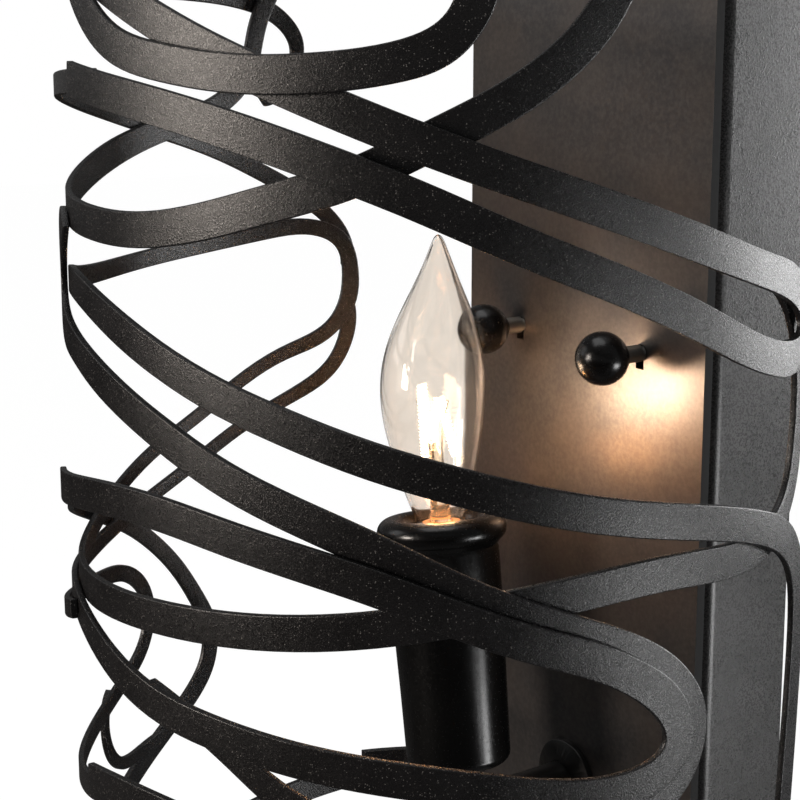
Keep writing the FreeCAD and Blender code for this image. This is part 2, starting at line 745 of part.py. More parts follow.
GROUND_X = "(%s - sizes.ground_screw_inside_stud)" % STUD_X
GROUND_Z = "(-sizes.ground_screw_drop)"
strap_tools.append(strap_hole("strap_ground", "sizes.ground_screw_radius", GROUND_X, GROUND_Z))
for side, _, sign in SIDES:
    strap_tools.append(strap_hole("strap_" + side, "sizes.stud_radius", sign + STUD_X, "0"))
node(drilled("strap_cut", strap_blank, *strap_tools), "crossbar")


def pan_screw(name, radius, length, head_radius, head_height, x, y, z, turn):
    """A slotted screw whose head stands on the given place, facing along turn."""
    shank = cylinder(name + "_shank", radius, length + " + " + head_height)
    shank.Placement.Base.z = 0
    bind(shank, Placement__Base__z="-(%s)" % length)
    head = cylinder(name + "_head", head_radius, head_height)
    cut = box(
        name + "_slot",
        "4 * " + head_radius,
        "sizes.screw_slot_width",
        head_height,
        "-2 * " + head_radius,
        "-sizes.screw_slot_width / 2",
        "%s / 2" % head_height,
    )
    screw = drilled(name, joined(name + "_blank", shank, head), cut)
    return place(screw, x, y, z, turn)


node(
    pan_screw(
        "ground_screw_part",
        "sizes.ground_screw_radius",
        "sizes.strap_thickness",
        "sizes.ground_screw_head_radius",
        "sizes.ground_screw_head_height",
        GROUND_X,
        STRAP_FRONT,
        GROUND_Z,
        FROM_WALL,
    ),
    "ground_screw",
)

STUD_LENGTH = "sizes.box_depth + sizes.plate_thickness + sizes.stud_past_plate"
lock_nuts = []
for side, _, sign in SIDES:
    at = sign + STUD_X
    stud = cylinder(
        "stud_rod_" + side, "sizes.stud_radius", STUD_LENGTH, at, "0", "0", FROM_WALL
    )
    node(stud, "stud_" + side)
    nut = prism("lock_nut_blank_" + side, "sizes.stud_nut_flats", "sizes.stud_nut_height")
    bore = cylinder("lock_nut_bore_" + side, "sizes.stud_radius", "sizes.stud_nut_height")
    nut = drilled("lock_nut_" + side, nut, bore)
    lock_nuts.append(place(nut, at, STRAP_FRONT, "0", FROM_WALL))
node(group("stud_lock_nut_pair", *lock_nuts), "stud_lock_nuts")

for side, _, sign in SIDES:
    ball = doc.addObject("Part::Sphere", "ball_" + side)
    bind(ball, Radius="sizes.ball_radius")
    place(ball, z="sizes.ball_reach")
    foot = cylinder(
        "ball_foot_" + side,
        "sizes.ball_foot_radius",
        "sizes.ball_reach - sizes.seat_gap",
        z="sizes.seat_gap",
    )
    hole = cylinder(
        "ball_hole_" + side, "sizes.stud_radius + sizes.turning_gap", "sizes.ball_hole_depth"
    )
    whole = drilled("ball_nut_part_" + side, joined("ball_body_" + side, ball, foot), hole)
    place(whole, sign + STUD_X, PLATE_FRONT, "0", FROM_WALL)
    node(whole, "ball_nut_" + side)


# Arm, its fixings and the elbow

ARM_TAIL_Y = "(-sizes.box_depth + sizes.arm_tail)"
ARM_END = "(sizes.nipple_radius + sizes.seat_gap)"
ARM_LENGTH = "(sizes.arm_tail + sizes.plate_thickness + sizes.arm_reach - %s)" % ARM_END
arm_outside = cylinder("arm_outside", "sizes.arm_radius", ARM_LENGTH)
arm_inside = cylinder("arm_inside", "sizes.arm_radius - sizes.arm_wall", ARM_LENGTH)
arm_tube = drilled("arm_tube_part", arm_outside, arm_inside)
node(place(arm_tube, "0", ARM_TAIL_Y, ARM_Z, FROM_WALL), "arm_tube")

flange = turned(
    "arm_flange_part",
    [
        ("sizes.arm_radius", "0"),
        ("sizes.arm_flange_radius", "0"),
        ("sizes.arm_flange_radius", "sizes.arm_flange_height / 2"),
        ("sizes.arm_radius + sizes.arm_wall", "sizes.arm_flange_height"),
        ("sizes.arm_radius", "sizes.arm_flange_height"),
    ],
)
node(place(flange, "0", PLATE_FRONT, ARM_Z, FROM_WALL), "arm_flange")

WASHER_Y = "(-sizes.box_depth + sizes.box_wall)"
washer = drilled(
    "arm_washer_part",
    cylinder("arm_washer_disc", "sizes.arm_washer_radius", "sizes.arm_washer_height"),
    cylinder("arm_washer_hole", "sizes.arm_radius", "sizes.arm_washer_height"),
)
node(place(washer, "0", WASHER_Y, ARM_Z, TO_WALL), "arm_lock_washer")
arm_nut = drilled(
    "arm_nut_part",
    prism("arm_nut_blank", "sizes.arm_nut_flats", "sizes.arm_nut_height"),
    cylinder("arm_nut_bore", "sizes.arm_radius", "sizes.arm_nut_height"),
)
node(
    place(arm_nut, "0", WASHER_Y + " + sizes.arm_washer_height", ARM_Z, TO_WALL),
    "arm_lock_nut",
)


# Candle, made upright on the elbow's centre and then leaned

bearing = math.radians(val("sizes.candle_lean_bearing"))
lean_axis = FreeCAD.Vector(-math.sin(bearing), math.cos(bearing), 0)
LEAN = FreeCAD.Rotation(lean_axis, val("sizes.candle_lean"))


def on_candle(obj, label):
    """Leans a piece of the candle about the elbow's centre and names it."""
    return node(place(obj, "0", ELBOW_Y, ARM_Z, LEAN), label)


CUP_BOTTOM = "sizes.cup_rise"
CUP_FLOOR = "(sizes.cup_rise + sizes.cup_wall)"
RIM_MIDDLE = "(sizes.cup_rise + sizes.cup_height - sizes.cup_rim_bead)"
GLASS_START = "(%s + sizes.glass_start_rise)" % RIM_MIDDLE
BASE_BOTTOM = "(%s - sizes.base_height)" % GLASS_START
BUTTON_TOP = "(%s - sizes.base_insulator_height)" % BASE_BOTTOM
BUTTON_BOTTOM = "(%s - sizes.base_button_height)" % BUTTON_TOP
SOCKET_TOP = "(%s - sizes.socket_top_drop)" % GLASS_START
SOCKET_BOTTOM = "(%s - sizes.socket_height)" % SOCKET_TOP
SOCKET_WELL = "(%s + sizes.socket_floor)" % SOCKET_BOTTOM

elbow = doc.addObject("Part::Sphere", "elbow_ball")
bind(elbow, Radius="sizes.elbow_radius")
elbow_arm = cylinder(
    "elbow_arm_hole",
    "sizes.arm_radius",
    "2 * sizes.elbow_radius",
    "0",
    ARM_END,
    "0",
    TO_WALL,
)
elbow_top = cylinder(
    "elbow_top_hole", "sizes.nipple_radius", "2 * sizes.elbow_radius", rotation=LEAN
)
elbow_feed = cylinder("elbow_feed", "sizes.nipple_bore", "sizes.elbow_radius", rotation=TO_WALL)
elbow_part = drilled("elbow_part", elbow, elbow_arm, elbow_top, elbow_feed)
node(place(elbow_part, "0", ELBOW_Y, ARM_Z), "ball_elbow")

nipple = drilled(
    "nipple_part",
    cylinder(
        "nipple_outside",
        "sizes.nipple_radius",
        "%s + sizes.nipple_above_cup - sizes.nipple_bore" % CUP_FLOOR,
        z="sizes.nipple_bore",
    ),
    cylinder("nipple_inside", "sizes.nipple_bore", "2 * %s" % CUP_FLOOR),
)
on_candle(nipple, "nipple")

collar = turned(
    "cup_collar_part",
    [
        ("sizes.nipple_radius", "sizes.elbow_radius"),
        ("sizes.arm_radius", "sizes.elbow_radius"),
        ("sizes.cup_foot_radius / 2", CUP_BOTTOM),
        ("sizes.nipple_radius", CUP_BOTTOM),
    ],
)
on_candle(collar, "cup_collar")

NECK_TOP = "(%s - sizes.cup_rim_bead)" % RIM_MIDDLE
cup_outside = turned(
    "cup_outside",
    [
        ("0", CUP_BOTTOM),
        ("sizes.cup_foot_radius", CUP_BOTTOM),
        ("sizes.cup_body_radius", "(%s + %s) / 2" % (CUP_BOTTOM, NECK_TOP)),
        ("sizes.cup_neck_radius", RIM_MIDDLE),
        ("0", RIM_MIDDLE),
    ],
    [("sizes.cup_corner", ring_at("sizes.cup_foot_radius", CUP_BOTTOM))],
)
cup_inside = turned(
    "cup_inside",
    [
        ("0", CUP_FLOOR),
        ("sizes.cup_foot_radius - sizes.cup_wall", CUP_FLOOR),
        (
            "sizes.cup_body_radius - sizes.cup_wall",
            "(%s + %s) / 2" % (CUP_BOTTOM, NECK_TOP),
        ),
        ("sizes.cup_neck_radius - sizes.cup_wall", RIM_MIDDLE),
        ("0", RIM_MIDDLE),
    ],
    [
        (
            "sizes.cup_corner - sizes.cup_wall",
            ring_at("sizes.cup_foot_radius - sizes.cup_wall", CUP_FLOOR),
        )
    ],
)
bead = doc.addObject("Part::Torus", "cup_bead")
bind(
    bead,
    Radius1="sizes.cup_rim_radius - sizes.cup_rim_bead",
    Radius2="sizes.cup_rim_bead",
    Placement__Base__z=RIM_MIDDLE,
)
cup_hole = cylinder(
    "cup_hole", "sizes.nipple_radius", "2 * sizes.cup_wall", z="%s - sizes.cup_wall" % CUP_FLOOR
)
cup_bore = drilled("cup_hollow_part", cup_outside, cup_inside, cup_hole)
cup_part = joined("cup_part", cup_bore, bead)
on_candle(cup_part, "candle_cup")

inner_nut = drilled(
    "inner_nut_part",
    prism("inner_nut_blank", "sizes.inner_nut_flats", "sizes.inner_nut_height", z=CUP_FLOOR),
    cylinder("inner_nut_bore", "sizes.nipple_radius", "sizes.inner_nut_height", z=CUP_FLOOR),
)
on_candle(inner_nut, "cup_lock_nut")

STEM_BOTTOM = "(%s + sizes.inner_nut_height)" % CUP_FLOOR
holder = drilled(
    "socket_stem_part",
    prism(
        "socket_stem_blank",
        "sizes.socket_stem_flats",
        "%s - %s" % (SOCKET_BOTTOM, STEM_BOTTOM),
        z=STEM_BOTTOM,
    ),
    cylinder(
        "socket_stem_thread",
        "sizes.nipple_radius",
        "%s + sizes.nipple_above_cup - %s" % (CUP_FLOOR, STEM_BOTTOM),
        z=STEM_BOTTOM,
    ),
    cylinder(
        "socket_stem_feed",
        "sizes.nipple_bore",
        "%s - %s" % (SOCKET_BOTTOM, STEM_BOTTOM),
        z=STEM_BOTTOM,
    ),
)
on_candle(holder, "socket_stem")

SHELL_OUT = "(sizes.socket_bore + sizes.socket_shell_wall)"
socket = drilled(
    "socket_part",
    cylinder("socket_outside", "sizes.socket_radius", "sizes.socket_height", z=SOCKET_BOTTOM),
    cylinder(
        "socket_well", SHELL_OUT, "sizes.socket_height", z=SOCKET_WELL
    ),
    cylinder(
        "socket_feed", "sizes.nipple_bore", "sizes.socket_floor / 2", z=SOCKET_BOTTOM
    ),
)
on_candle(socket, "socket_body")

SHELL_HEIGHT = "(sizes.socket_height - sizes.socket_floor - sizes.socket_top_drop)"
shell = drilled(
    "socket_shell_part",
    cylinder("socket_shell_outside", SHELL_OUT, SHELL_HEIGHT, z=SOCKET_WELL),
    cylinder("socket_shell_inside", "sizes.socket_bore", SHELL_HEIGHT, z=SOCKET_WELL),
)
on_candle(shell, "socket_shell")

TAB_TOP = "(%s - sizes.seat_gap)" % BUTTON_BOTTOM
tab = turned(
    "socket_contact_part",
    [
        ("0", SOCKET_WELL),
        ("sizes.socket_tab_radius", SOCKET_WELL),
        ("sizes.base_button_radius", TAB_TOP),
        ("0", TAB_TOP),
    ],
)
on_candle(tab, "socket_contact")


# Bulb

THREADS = 4
CREST = "sizes.base_radius"
ROOT = "(sizes.base_radius - sizes.socket_shell_wall)"
THREAD_TOP = "(%s - sizes.base_collar_height)" % GLASS_START


def between(low, high, share):
    """A place at a share of the way from one level to another."""
    return "%s + (%s - %s) * %s" % (low, high, low, share)


cap_outline = [("sizes.base_insulator_radius", BASE_BOTTOM), (ROOT, BASE_BOTTOM)]
for turn in range(THREADS):
    for part_share, radius in ((0.5, CREST), (1, ROOT)):
        share = (turn + part_share) / THREADS
        cap_outline.append((radius, between(BASE_BOTTOM, THREAD_TOP, share)))
cap_outline += [
    (CREST, THREAD_TOP + " + sizes.socket_shell_wall"),
    (CREST, GLASS_START),
    ("sizes.base_insulator_radius", GLASS_START),
]
on_candle(turned("bulb_base_part", cap_outline), "bulb_screw_base")

insulator = turned(
    "bulb_insulator_part",
    [
        ("0", BUTTON_TOP),
        ("sizes.base_button_radius", BUTTON_TOP),
        ("sizes.base_insulator_radius", BASE_BOTTOM),
        ("0", BASE_BOTTOM),
    ],
)
on_candle(insulator, "bulb_insulator")
button = turned(
    "bulb_button_part",
    [
        ("0", BUTTON_BOTTOM),
        ("sizes.base_button_radius / 2", BUTTON_BOTTOM),
        ("sizes.base_button_radius", BUTTON_TOP),
        ("0", BUTTON_TOP),
    ],
)
on_candle(button, "bulb_contact")

# Rows of the glass: share of its length, share of the belly radius, share of the bend
GLASS_SHARES = [
    (0.0, 0.46, 0.0), (0.02, 0.49, 0.0), (0.05, 0.545, 0.0), (0.09, 0.615, 0.0),
    (0.14, 0.695, 0.0), (0.237, 0.82, 0.0), (0.315, 0.915, 0.01), (0.393, 0.975, 0.04),
    (0.473, 1.0, 0.1), (0.551, 0.967, 0.19), (0.632, 0.883, 0.33), (0.71, 0.733, 0.49),
    (0.792, 0.53, 0.66), (0.873, 0.33, 0.83), (0.935, 0.2, 0.94), (0.975, 0.12, 0.99),
    (1.0, 0.05, 1.0),
]


def glass_solid(inset):
    """The glass or, with an inset, the space inside it."""
    tip = math.radians(val("sizes.tip_bearing"))
    length = val("sizes.glass_length")
    rings = []
    for rise, swell, bend in GLASS_SHARES:
        radius = swell * val("sizes.glass_belly_radius") - inset
        if radius < inset / 2:
            continue
        offset = bend * val("sizes.glass_tip_bend")
        centre = FreeCAD.Vector(
            offset * math.cos(tip), offset * math.sin(tip), val(GLASS_START) + rise * length
        )
        circle = Part.makeCircle(radius, centre, FreeCAD.Vector(0, 0, 1))
        rings.append(Part.Wire([circle]))
    return Part.makeLoft(rings, True)


glass = doc.addObject("Part::Feature", "bulb_glass_part")
glass.Shape = glass_solid(0).cut(glass_solid(val("sizes.glass_wall")))
on_candle(glass, "bulb_glass")

STEM_TOP = "(%s + sizes.stem_length)" % GLASS_START
flare = cone(
    "bulb_stem_flare",
    "sizes.stem_radius",
    "sizes.stem_radius / 2",
    "sizes.stem_length",
    z=GLASS_START,
)
rod = cylinder("bulb_stem_rod", "sizes.stem_radius / 3", "sizes.stem_tube_length", z=STEM_TOP)
on_candle(joined("bulb_stem_part", flare, rod), "bulb_stem")


def wire_solid(points, radius):
    """A round wire through points."""
    curve = Part.BSplineCurve()
    curve.interpolate(points)
    start = curve.value(0)
    along = curve.tangent(0)[0]
    ring = Part.Wire([Part.makeCircle(radius, start, along)])
    return Part.Wire([curve.toShape()]).makePipeShell([ring], True, True)


def across(reach, rise):
    """A point in the plane of the filament, which faces the front."""
    return FreeCAD.Vector(reach, 0, rise)


FILAMENT_Z = "(%s + sizes.filament_rise)" % GLASS_START
spread = val("sizes.filament_spread")
peak = val(FILAMENT_Z)
foot_z = peak - val("sizes.filament_drop")
filament = doc.addObject("Part::Feature", "bulb_filament_part")
filament.Shape = wire_solid(
    [across(-spread, foot_z), across(-spread / 2, (peak + foot_z) / 2), across(0, peak),
     across(spread / 2, (peak + foot_z) / 2), across(spread, foot_z)],
    val("sizes.filament_radius"),
)
on_candle(filament, "bulb_filament")

holders = []
for side in (-1, 1):
    low = val(STEM_TOP) - val("sizes.stem_length") / 4
    start_x = side * val("sizes.stem_radius")
    holders.append(
        wire_solid(
            [across(start_x, low), across(side * spread / 2, (low + foot_z) / 2),
             across(side * spread, foot_z - val("sizes.filament_radius"))],
            val("sizes.filament_wire"),
        )
    )
holder_pair = doc.addObject("Part::Feature", "bulb_wires_part")
holder_pair.Shape = Part.makeCompound(holders)
on_candle(holder_pair, "bulb_support_wires")


# Wires inside the wall box


def bent_wire(points, bend, radius):
    """A round wire of straight runs joined by arcs that touch them."""
    pieces = []
    start = points[0]
    for before, corner, after in zip(points, points[1:], points[2:]):
        towards = (corner - before).normalize()
        onward = (after - corner).normalize()
        turn = towards.getAngle(onward)
        cut = bend * math.tan(turn / 2)
        first = corner - towards * cut
        last = corner + onward * cut
        inward = (onward - towards).normalize()
        middle = corner + inward * (bend / math.cos(turn / 2) - bend)
        pieces.append(Part.LineSegment(start, first).toShape())
        pieces.append(Part.Arc(first, middle, last).toShape())
        start = last
    pieces.append(Part.LineSegment(start, points[-1]).toShape())
    spine = Part.Wire(pieces)
    ring = Part.Wire([Part.makeCircle(radius, points[0], points[1] - points[0])])
    return spine.makePipeShell([ring], True, False)


WIRE_Y = "((sizes.arm_tail - sizes.box_depth) / 2)"
LEAD_TOP = "(%s + sizes.lead_rise)" % ARM_Z
wire_nuts = []
for index, name in enumerate(("hot", "neutral", "ground")):
    side = index - 1
    lead_x = side * val("sizes.lead_side")
    start_x = side * (2 * val("sizes.lead_radius") + val("sizes.seat_gap"))
    back = val("sizes.arm_tail") - val("sizes.box_depth")
    depth = val(WIRE_Y)
    rest = val("sizes.arm_radius - sizes.arm_wall - sizes.lead_radius - sizes.seat_gap")
    low = val(ARM_Z) - math.sqrt(rest * rest - start_x * start_x)
    top = val(LEAD_TOP)
    points = [
        FreeCAD.Vector(start_x, back - val("sizes.lead_bend"), low),
        FreeCAD.Vector(start_x, depth, low),
        FreeCAD.Vector(lead_x, depth, (low + top) / 2),
        FreeCAD.Vector(lead_x, depth, top),
    ]
    if not side:
        points.pop(2)
    lead = doc.addObject("Part::Feature", "lead_part_" + name)
    lead.Shape = bent_wire(points, val("sizes.lead_bend"), val("sizes.lead_radius"))
    node(lead, "lead_" + name)
    nut = cone(
        "wire_nut_" + name,
        "sizes.wire_nut_radius",
        "sizes.wire_nut_tip_radius",
        "sizes.wire_nut_length",
    )
    well = cylinder("wire_nut_well_" + name, "sizes.lead_radius", "sizes.lead_bend / 2")
    cap = drilled("wire_nut_part_" + name, nut, well)
    place(cap, "%d * sizes.lead_side" % side, WIRE_Y, LEAD_TOP + " - sizes.lead_bend / 2")
    wire_nuts.append(cap)
node(group("wire_nut_set", *wire_nuts), "wire_nuts")


# Brackets that carry the drum, with their screws

TAB_IN = "(%s - sizes.bracket_thickness)" % TAB_OUT


def tab_ring(name, z):
    """A short tall ring that the bracket tabs are cut from."""
    return drilled(
        name,
        cylinder(name + "_out", TAB_OUT, "sizes.bracket_width", "0", DRUM_Y, z),
        cylinder(name + "_in", TAB_IN, "sizes.bracket_width", "0", DRUM_Y, z),
    )


BAR_FRONT = "(%s - sizes.bracket_thickness)" % PLATE_FRONT
BAR_HALF = "sqrt(%s * %s - sizes.drum_reach * sizes.drum_reach)" % (TAB_OUT, TAB_OUT)
screws_in_plate = []
screws_in_band = []
for level, z in BRACKET_LEVELS:
    low = "%s - sizes.bracket_width / 2" % z
    ring = tab_ring("bracket_ring_" + level, low)
    window = box(
        "bracket_window_" + level,
        "2 * sizes.drum_radius",
        "sizes.bracket_tab",
        "sizes.bracket_width",
        "-sizes.drum_radius",
        "%s - sizes.bracket_tab" % PLATE_FRONT,
        low,
    )
    tabs = doc.addObject("Part::Common", "bracket_tabs_" + level)
    tabs.Base = ring
    tabs.Tool = window
    bar = box(
        "bracket_bar_" + level,
        "2 * " + BAR_HALF,
        "sizes.bracket_thickness",
        "sizes.bracket_width",
        "-" + BAR_HALF,
        BAR_FRONT,
        low,
    )
    blank = joined("bracket_blank_" + level, bar, tabs)
    tools = []
    for side, _, sign in SIDES:
        x = "%s(sizes.bracket_screw_spread / 2)" % sign
        tools.append(
            cylinder(
                "bracket_hole_%s_%s" % (level, side),
                "sizes.bracket_screw_radius",
                "3 * sizes.bracket_thickness",
                x,
                "%s + sizes.bracket_thickness" % PLATE_FRONT,
                z,
                FROM_WALL,
            )
        )
        screws_in_plate.append(
            pan_screw(
                "bracket_screw_%s_%s" % (level, side),
                "sizes.bracket_screw_radius",
                "sizes.bracket_screw_length",
                "sizes.bracket_screw_head_radius",
                "sizes.bracket_screw_head_height",
                x,
                BAR_FRONT,
                z,
                FROM_WALL,
            )
        )
    for side, way, sign in SIDES:
        screws_in_band.append(
            pan_screw(
                "shade_screw_%s_%s" % (level, side),
                "sizes.band_screw_radius",
                "sizes.ribbon_thickness + sizes.bracket_thickness",
                "sizes.band_screw_head_radius",
                "sizes.band_screw_head_height",
                sign + BAND_SCREW_X,
                BAND_SCREW_Y,
                z,
                band_screw_turn(way),
            )
        )
        hole = doc.addObject("Part::Feature", "tab_hole_%s_%s" % (level, side))
        hole.Shape = band_hole(way, z)
        tools.append(hole)
    node(drilled("bracket_part_" + level, blank, *tools), "bracket_" + level)
node(group("bracket_screw_set", *screws_in_plate), "bracket_screws")
node(group("shade_screw_set", *screws_in_band), "shade_screws")

doc.recompute()

# Every object is sound before the files are written
problems = []
for obj in doc.Objects:
    if "Invalid" in obj.State or "Error" in obj.State:
        problems.append("%s is %s" % (obj.Name, obj.State))
for obj in nodes:
    if obj.Shape.isNull() or not obj.Shape.isValid() or not obj.Shape.Solids:
        problems.append("%s has no sound solid" % obj.Label)
if problems:
    raise RuntimeError("; ".join(problems))

for obj in nodes:
    obj.Shape.exportStep("parts/%s.step" % obj.Label)
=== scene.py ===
import json
import math

import bpy
from mathutils import Euler, Matrix, Vector


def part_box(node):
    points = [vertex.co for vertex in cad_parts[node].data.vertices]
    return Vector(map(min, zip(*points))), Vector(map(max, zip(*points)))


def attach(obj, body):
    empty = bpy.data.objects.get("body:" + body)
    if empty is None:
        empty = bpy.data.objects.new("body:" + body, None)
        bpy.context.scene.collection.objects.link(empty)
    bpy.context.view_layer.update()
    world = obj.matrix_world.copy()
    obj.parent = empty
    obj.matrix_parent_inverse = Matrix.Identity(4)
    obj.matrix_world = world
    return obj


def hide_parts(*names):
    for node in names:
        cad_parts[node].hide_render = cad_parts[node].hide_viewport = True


bl_info = {
    "name": "Candle wall light",
    "version": (1, 0, 0),
    "blender": (4, 5, 0),
    "location": "3D View > Sidebar > Candle light",
    "description": "Dresses the packed candle wall light and sets its studio",
    "category": "Object",
}

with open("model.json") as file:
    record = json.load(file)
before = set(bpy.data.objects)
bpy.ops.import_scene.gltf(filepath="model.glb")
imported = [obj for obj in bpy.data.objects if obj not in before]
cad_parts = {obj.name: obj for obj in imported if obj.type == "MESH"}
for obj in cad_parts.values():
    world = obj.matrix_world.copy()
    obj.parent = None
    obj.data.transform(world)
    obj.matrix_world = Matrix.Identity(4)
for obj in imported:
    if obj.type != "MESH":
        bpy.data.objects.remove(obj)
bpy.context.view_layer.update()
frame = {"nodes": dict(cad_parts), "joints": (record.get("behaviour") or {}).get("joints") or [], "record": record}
NODES = frame["nodes"]
SLOT_OF = {row["node"]: row["material_slot"] for row in frame["record"]["subparts"]}
BODY_OF = {
    name: body
    for body, names in frame["record"]["behaviour"]["bodies"].items()
    for name in names
}
MM = 0.001

# The candle's own axis and its rim's centre, taken from the joint that the bulb turns on
BULB_JOINT = next(joint for joint in frame["joints"] if joint["name"] == "bulb_turn")
CANDLE_AXIS = Vector(BULB_JOINT["axis"]).normalized()
RIM_CENTRE = Vector(BULB_JOINT["pos_m"])

# The finish of each material slot, filled by the finishes operator
finishes = {}


def sizes():
    return bpy.context.scene.candle_light_sizes


def colours():
    return bpy.context.scene.candle_light_colours


def linear(hex_colour):
    """An sRGB hex colour as linear red, green, blue and alpha."""
    parts = [int(hex_colour[i : i + 2], 16) / 255 for i in (1, 3, 5)]
    lin = [c / 12.92 if c <= 0.04045 else ((c + 0.055) / 1.055) ** 2.4 for c in parts]
    return (*lin, 1.0)


# Finishes

# Where a Mix node that blends colours keeps its share, its two colours and its result
SHARE = 0
UNDER = 6
OVER = 7
BLENDED = 2

# The values of a noise texture nearly all lie between these two
NOISE_LOW = 0.3
NOISE_HIGH = 0.7

# Refraction of cured powder, enamel and glass, and of moulded resin
COAT_IOR = 1.5
RESIN_IOR = 1.49


def add(tree, kind, inputs=None, **settings):
    """Adds one node with its settings, values and links."""
    made = tree.nodes.new("ShaderNode" + kind)
    for key, value in settings.items():
        setattr(made, key, value)
    for key, value in (inputs or {}).items():
        if isinstance(value, bpy.types.NodeSocket):
            tree.links.new(value, made.inputs[key])
        else:
            made.inputs[key].default_value = value
    return made


def new_material(name):
    """A material with no nodes yet, and its node tree."""
    material = bpy.data.materials.new(name)
    material.use_nodes = True
    material.node_tree.nodes.clear()
    return material, material.node_tree


def per_metre(size_mm):
    """The texture scale that gives features of a size in millimetres."""
    return 1 / (size_mm * MM)


def powder_coat(name, base, patch, fleck, grit_mm, rough, depth_mm, flecks=0.12):
    """Fine-texture powder coat, baked on steel.

    To the eye it is a sandy matt black that turns grey only where it mirrors a lamp, with soft
    patches of tone and tiny bright mica glints. Real grit is about 0.15 mm across. It is drawn
    coarser, so that it shows.
    """
    patch_mm = 14
    flake_mm = grit_mm * 0.9
    flake_edge = 0.45
    flake_core = 0.15
    hollow_dulling = 0.12
    crest_polish = 0.1
    glint_polish = 0.2
    material, tree = new_material(name)
    place = add(tree, "TexCoord").outputs["Object"]
    grit = add(
        tree,
        "TexNoise",
        {"Vector": place, "Scale": per_metre(grit_mm), "Detail": 3.0, "Roughness": 0.6},
    )
    cloud = add(tree, "TexNoise", {"Vector": place, "Scale": per_metre(patch_mm), "Detail": 2.0})
    patches = add(
        tree, "MapRange", {"Value": cloud.outputs["Fac"], "From Min": 0.38, "From Max": 0.64}
    )
    flakes = add(tree, "TexVoronoi", {"Vector": place, "Scale": per_metre(flake_mm)})
    lot = add(tree, "SeparateColor", {"Color": flakes.outputs["Color"]})
    chosen = add(
        tree, "MapRange", {"Value": lot.outputs["Red"], "From Min": 1 - flecks, "From Max": 1.0}
    )
    core = add(
        tree,
        "MapRange",
        {"Value": flakes.outputs["Distance"], "From Min": flake_edge, "From Max": flake_core},
    )
    glints = add(tree, "Math", {0: chosen.outputs[0], 1: core.outputs[0]}, operation="MULTIPLY")
    tone = add(
        tree,
        "Mix",
        {SHARE: patches.outputs[0], UNDER: linear(base), OVER: linear(patch)},
        data_type="RGBA",
    )
    tone = add(
        tree,
        "Mix",
        {SHARE: glints.outputs[0], UNDER: tone.outputs[BLENDED], OVER: linear(fleck)},
        data_type="RGBA",
    )
    gloss = add(
        tree,
        "MapRange",
        {
            "Value": grit.outputs["Fac"],
            "From Min": NOISE_LOW,
            "From Max": NOISE_HIGH,
            "To Min": rough + hollow_dulling,
            "To Max": rough - crest_polish,
        },
    )
    gloss = add(
        tree,
        "Math",
        {0: glints.outputs[0], 1: -glint_polish, 2: gloss.outputs[0]},
        operation="MULTIPLY_ADD",
    )
    bump = add(
        tree,
        "Bump",
        {"Height": grit.outputs["Fac"], "Strength": 1.0, "Distance": depth_mm * MM},
    )
    shader = add(
        tree,
        "BsdfPrincipled",
        {
            "Base Color": tone.outputs[BLENDED],
            "Roughness": gloss.outputs[0],
            "Normal": bump.outputs[0],
            "IOR": COAT_IOR,
        },
    )
    add(tree, "OutputMaterial", {"Surface": shader.outputs[0]})
    return material


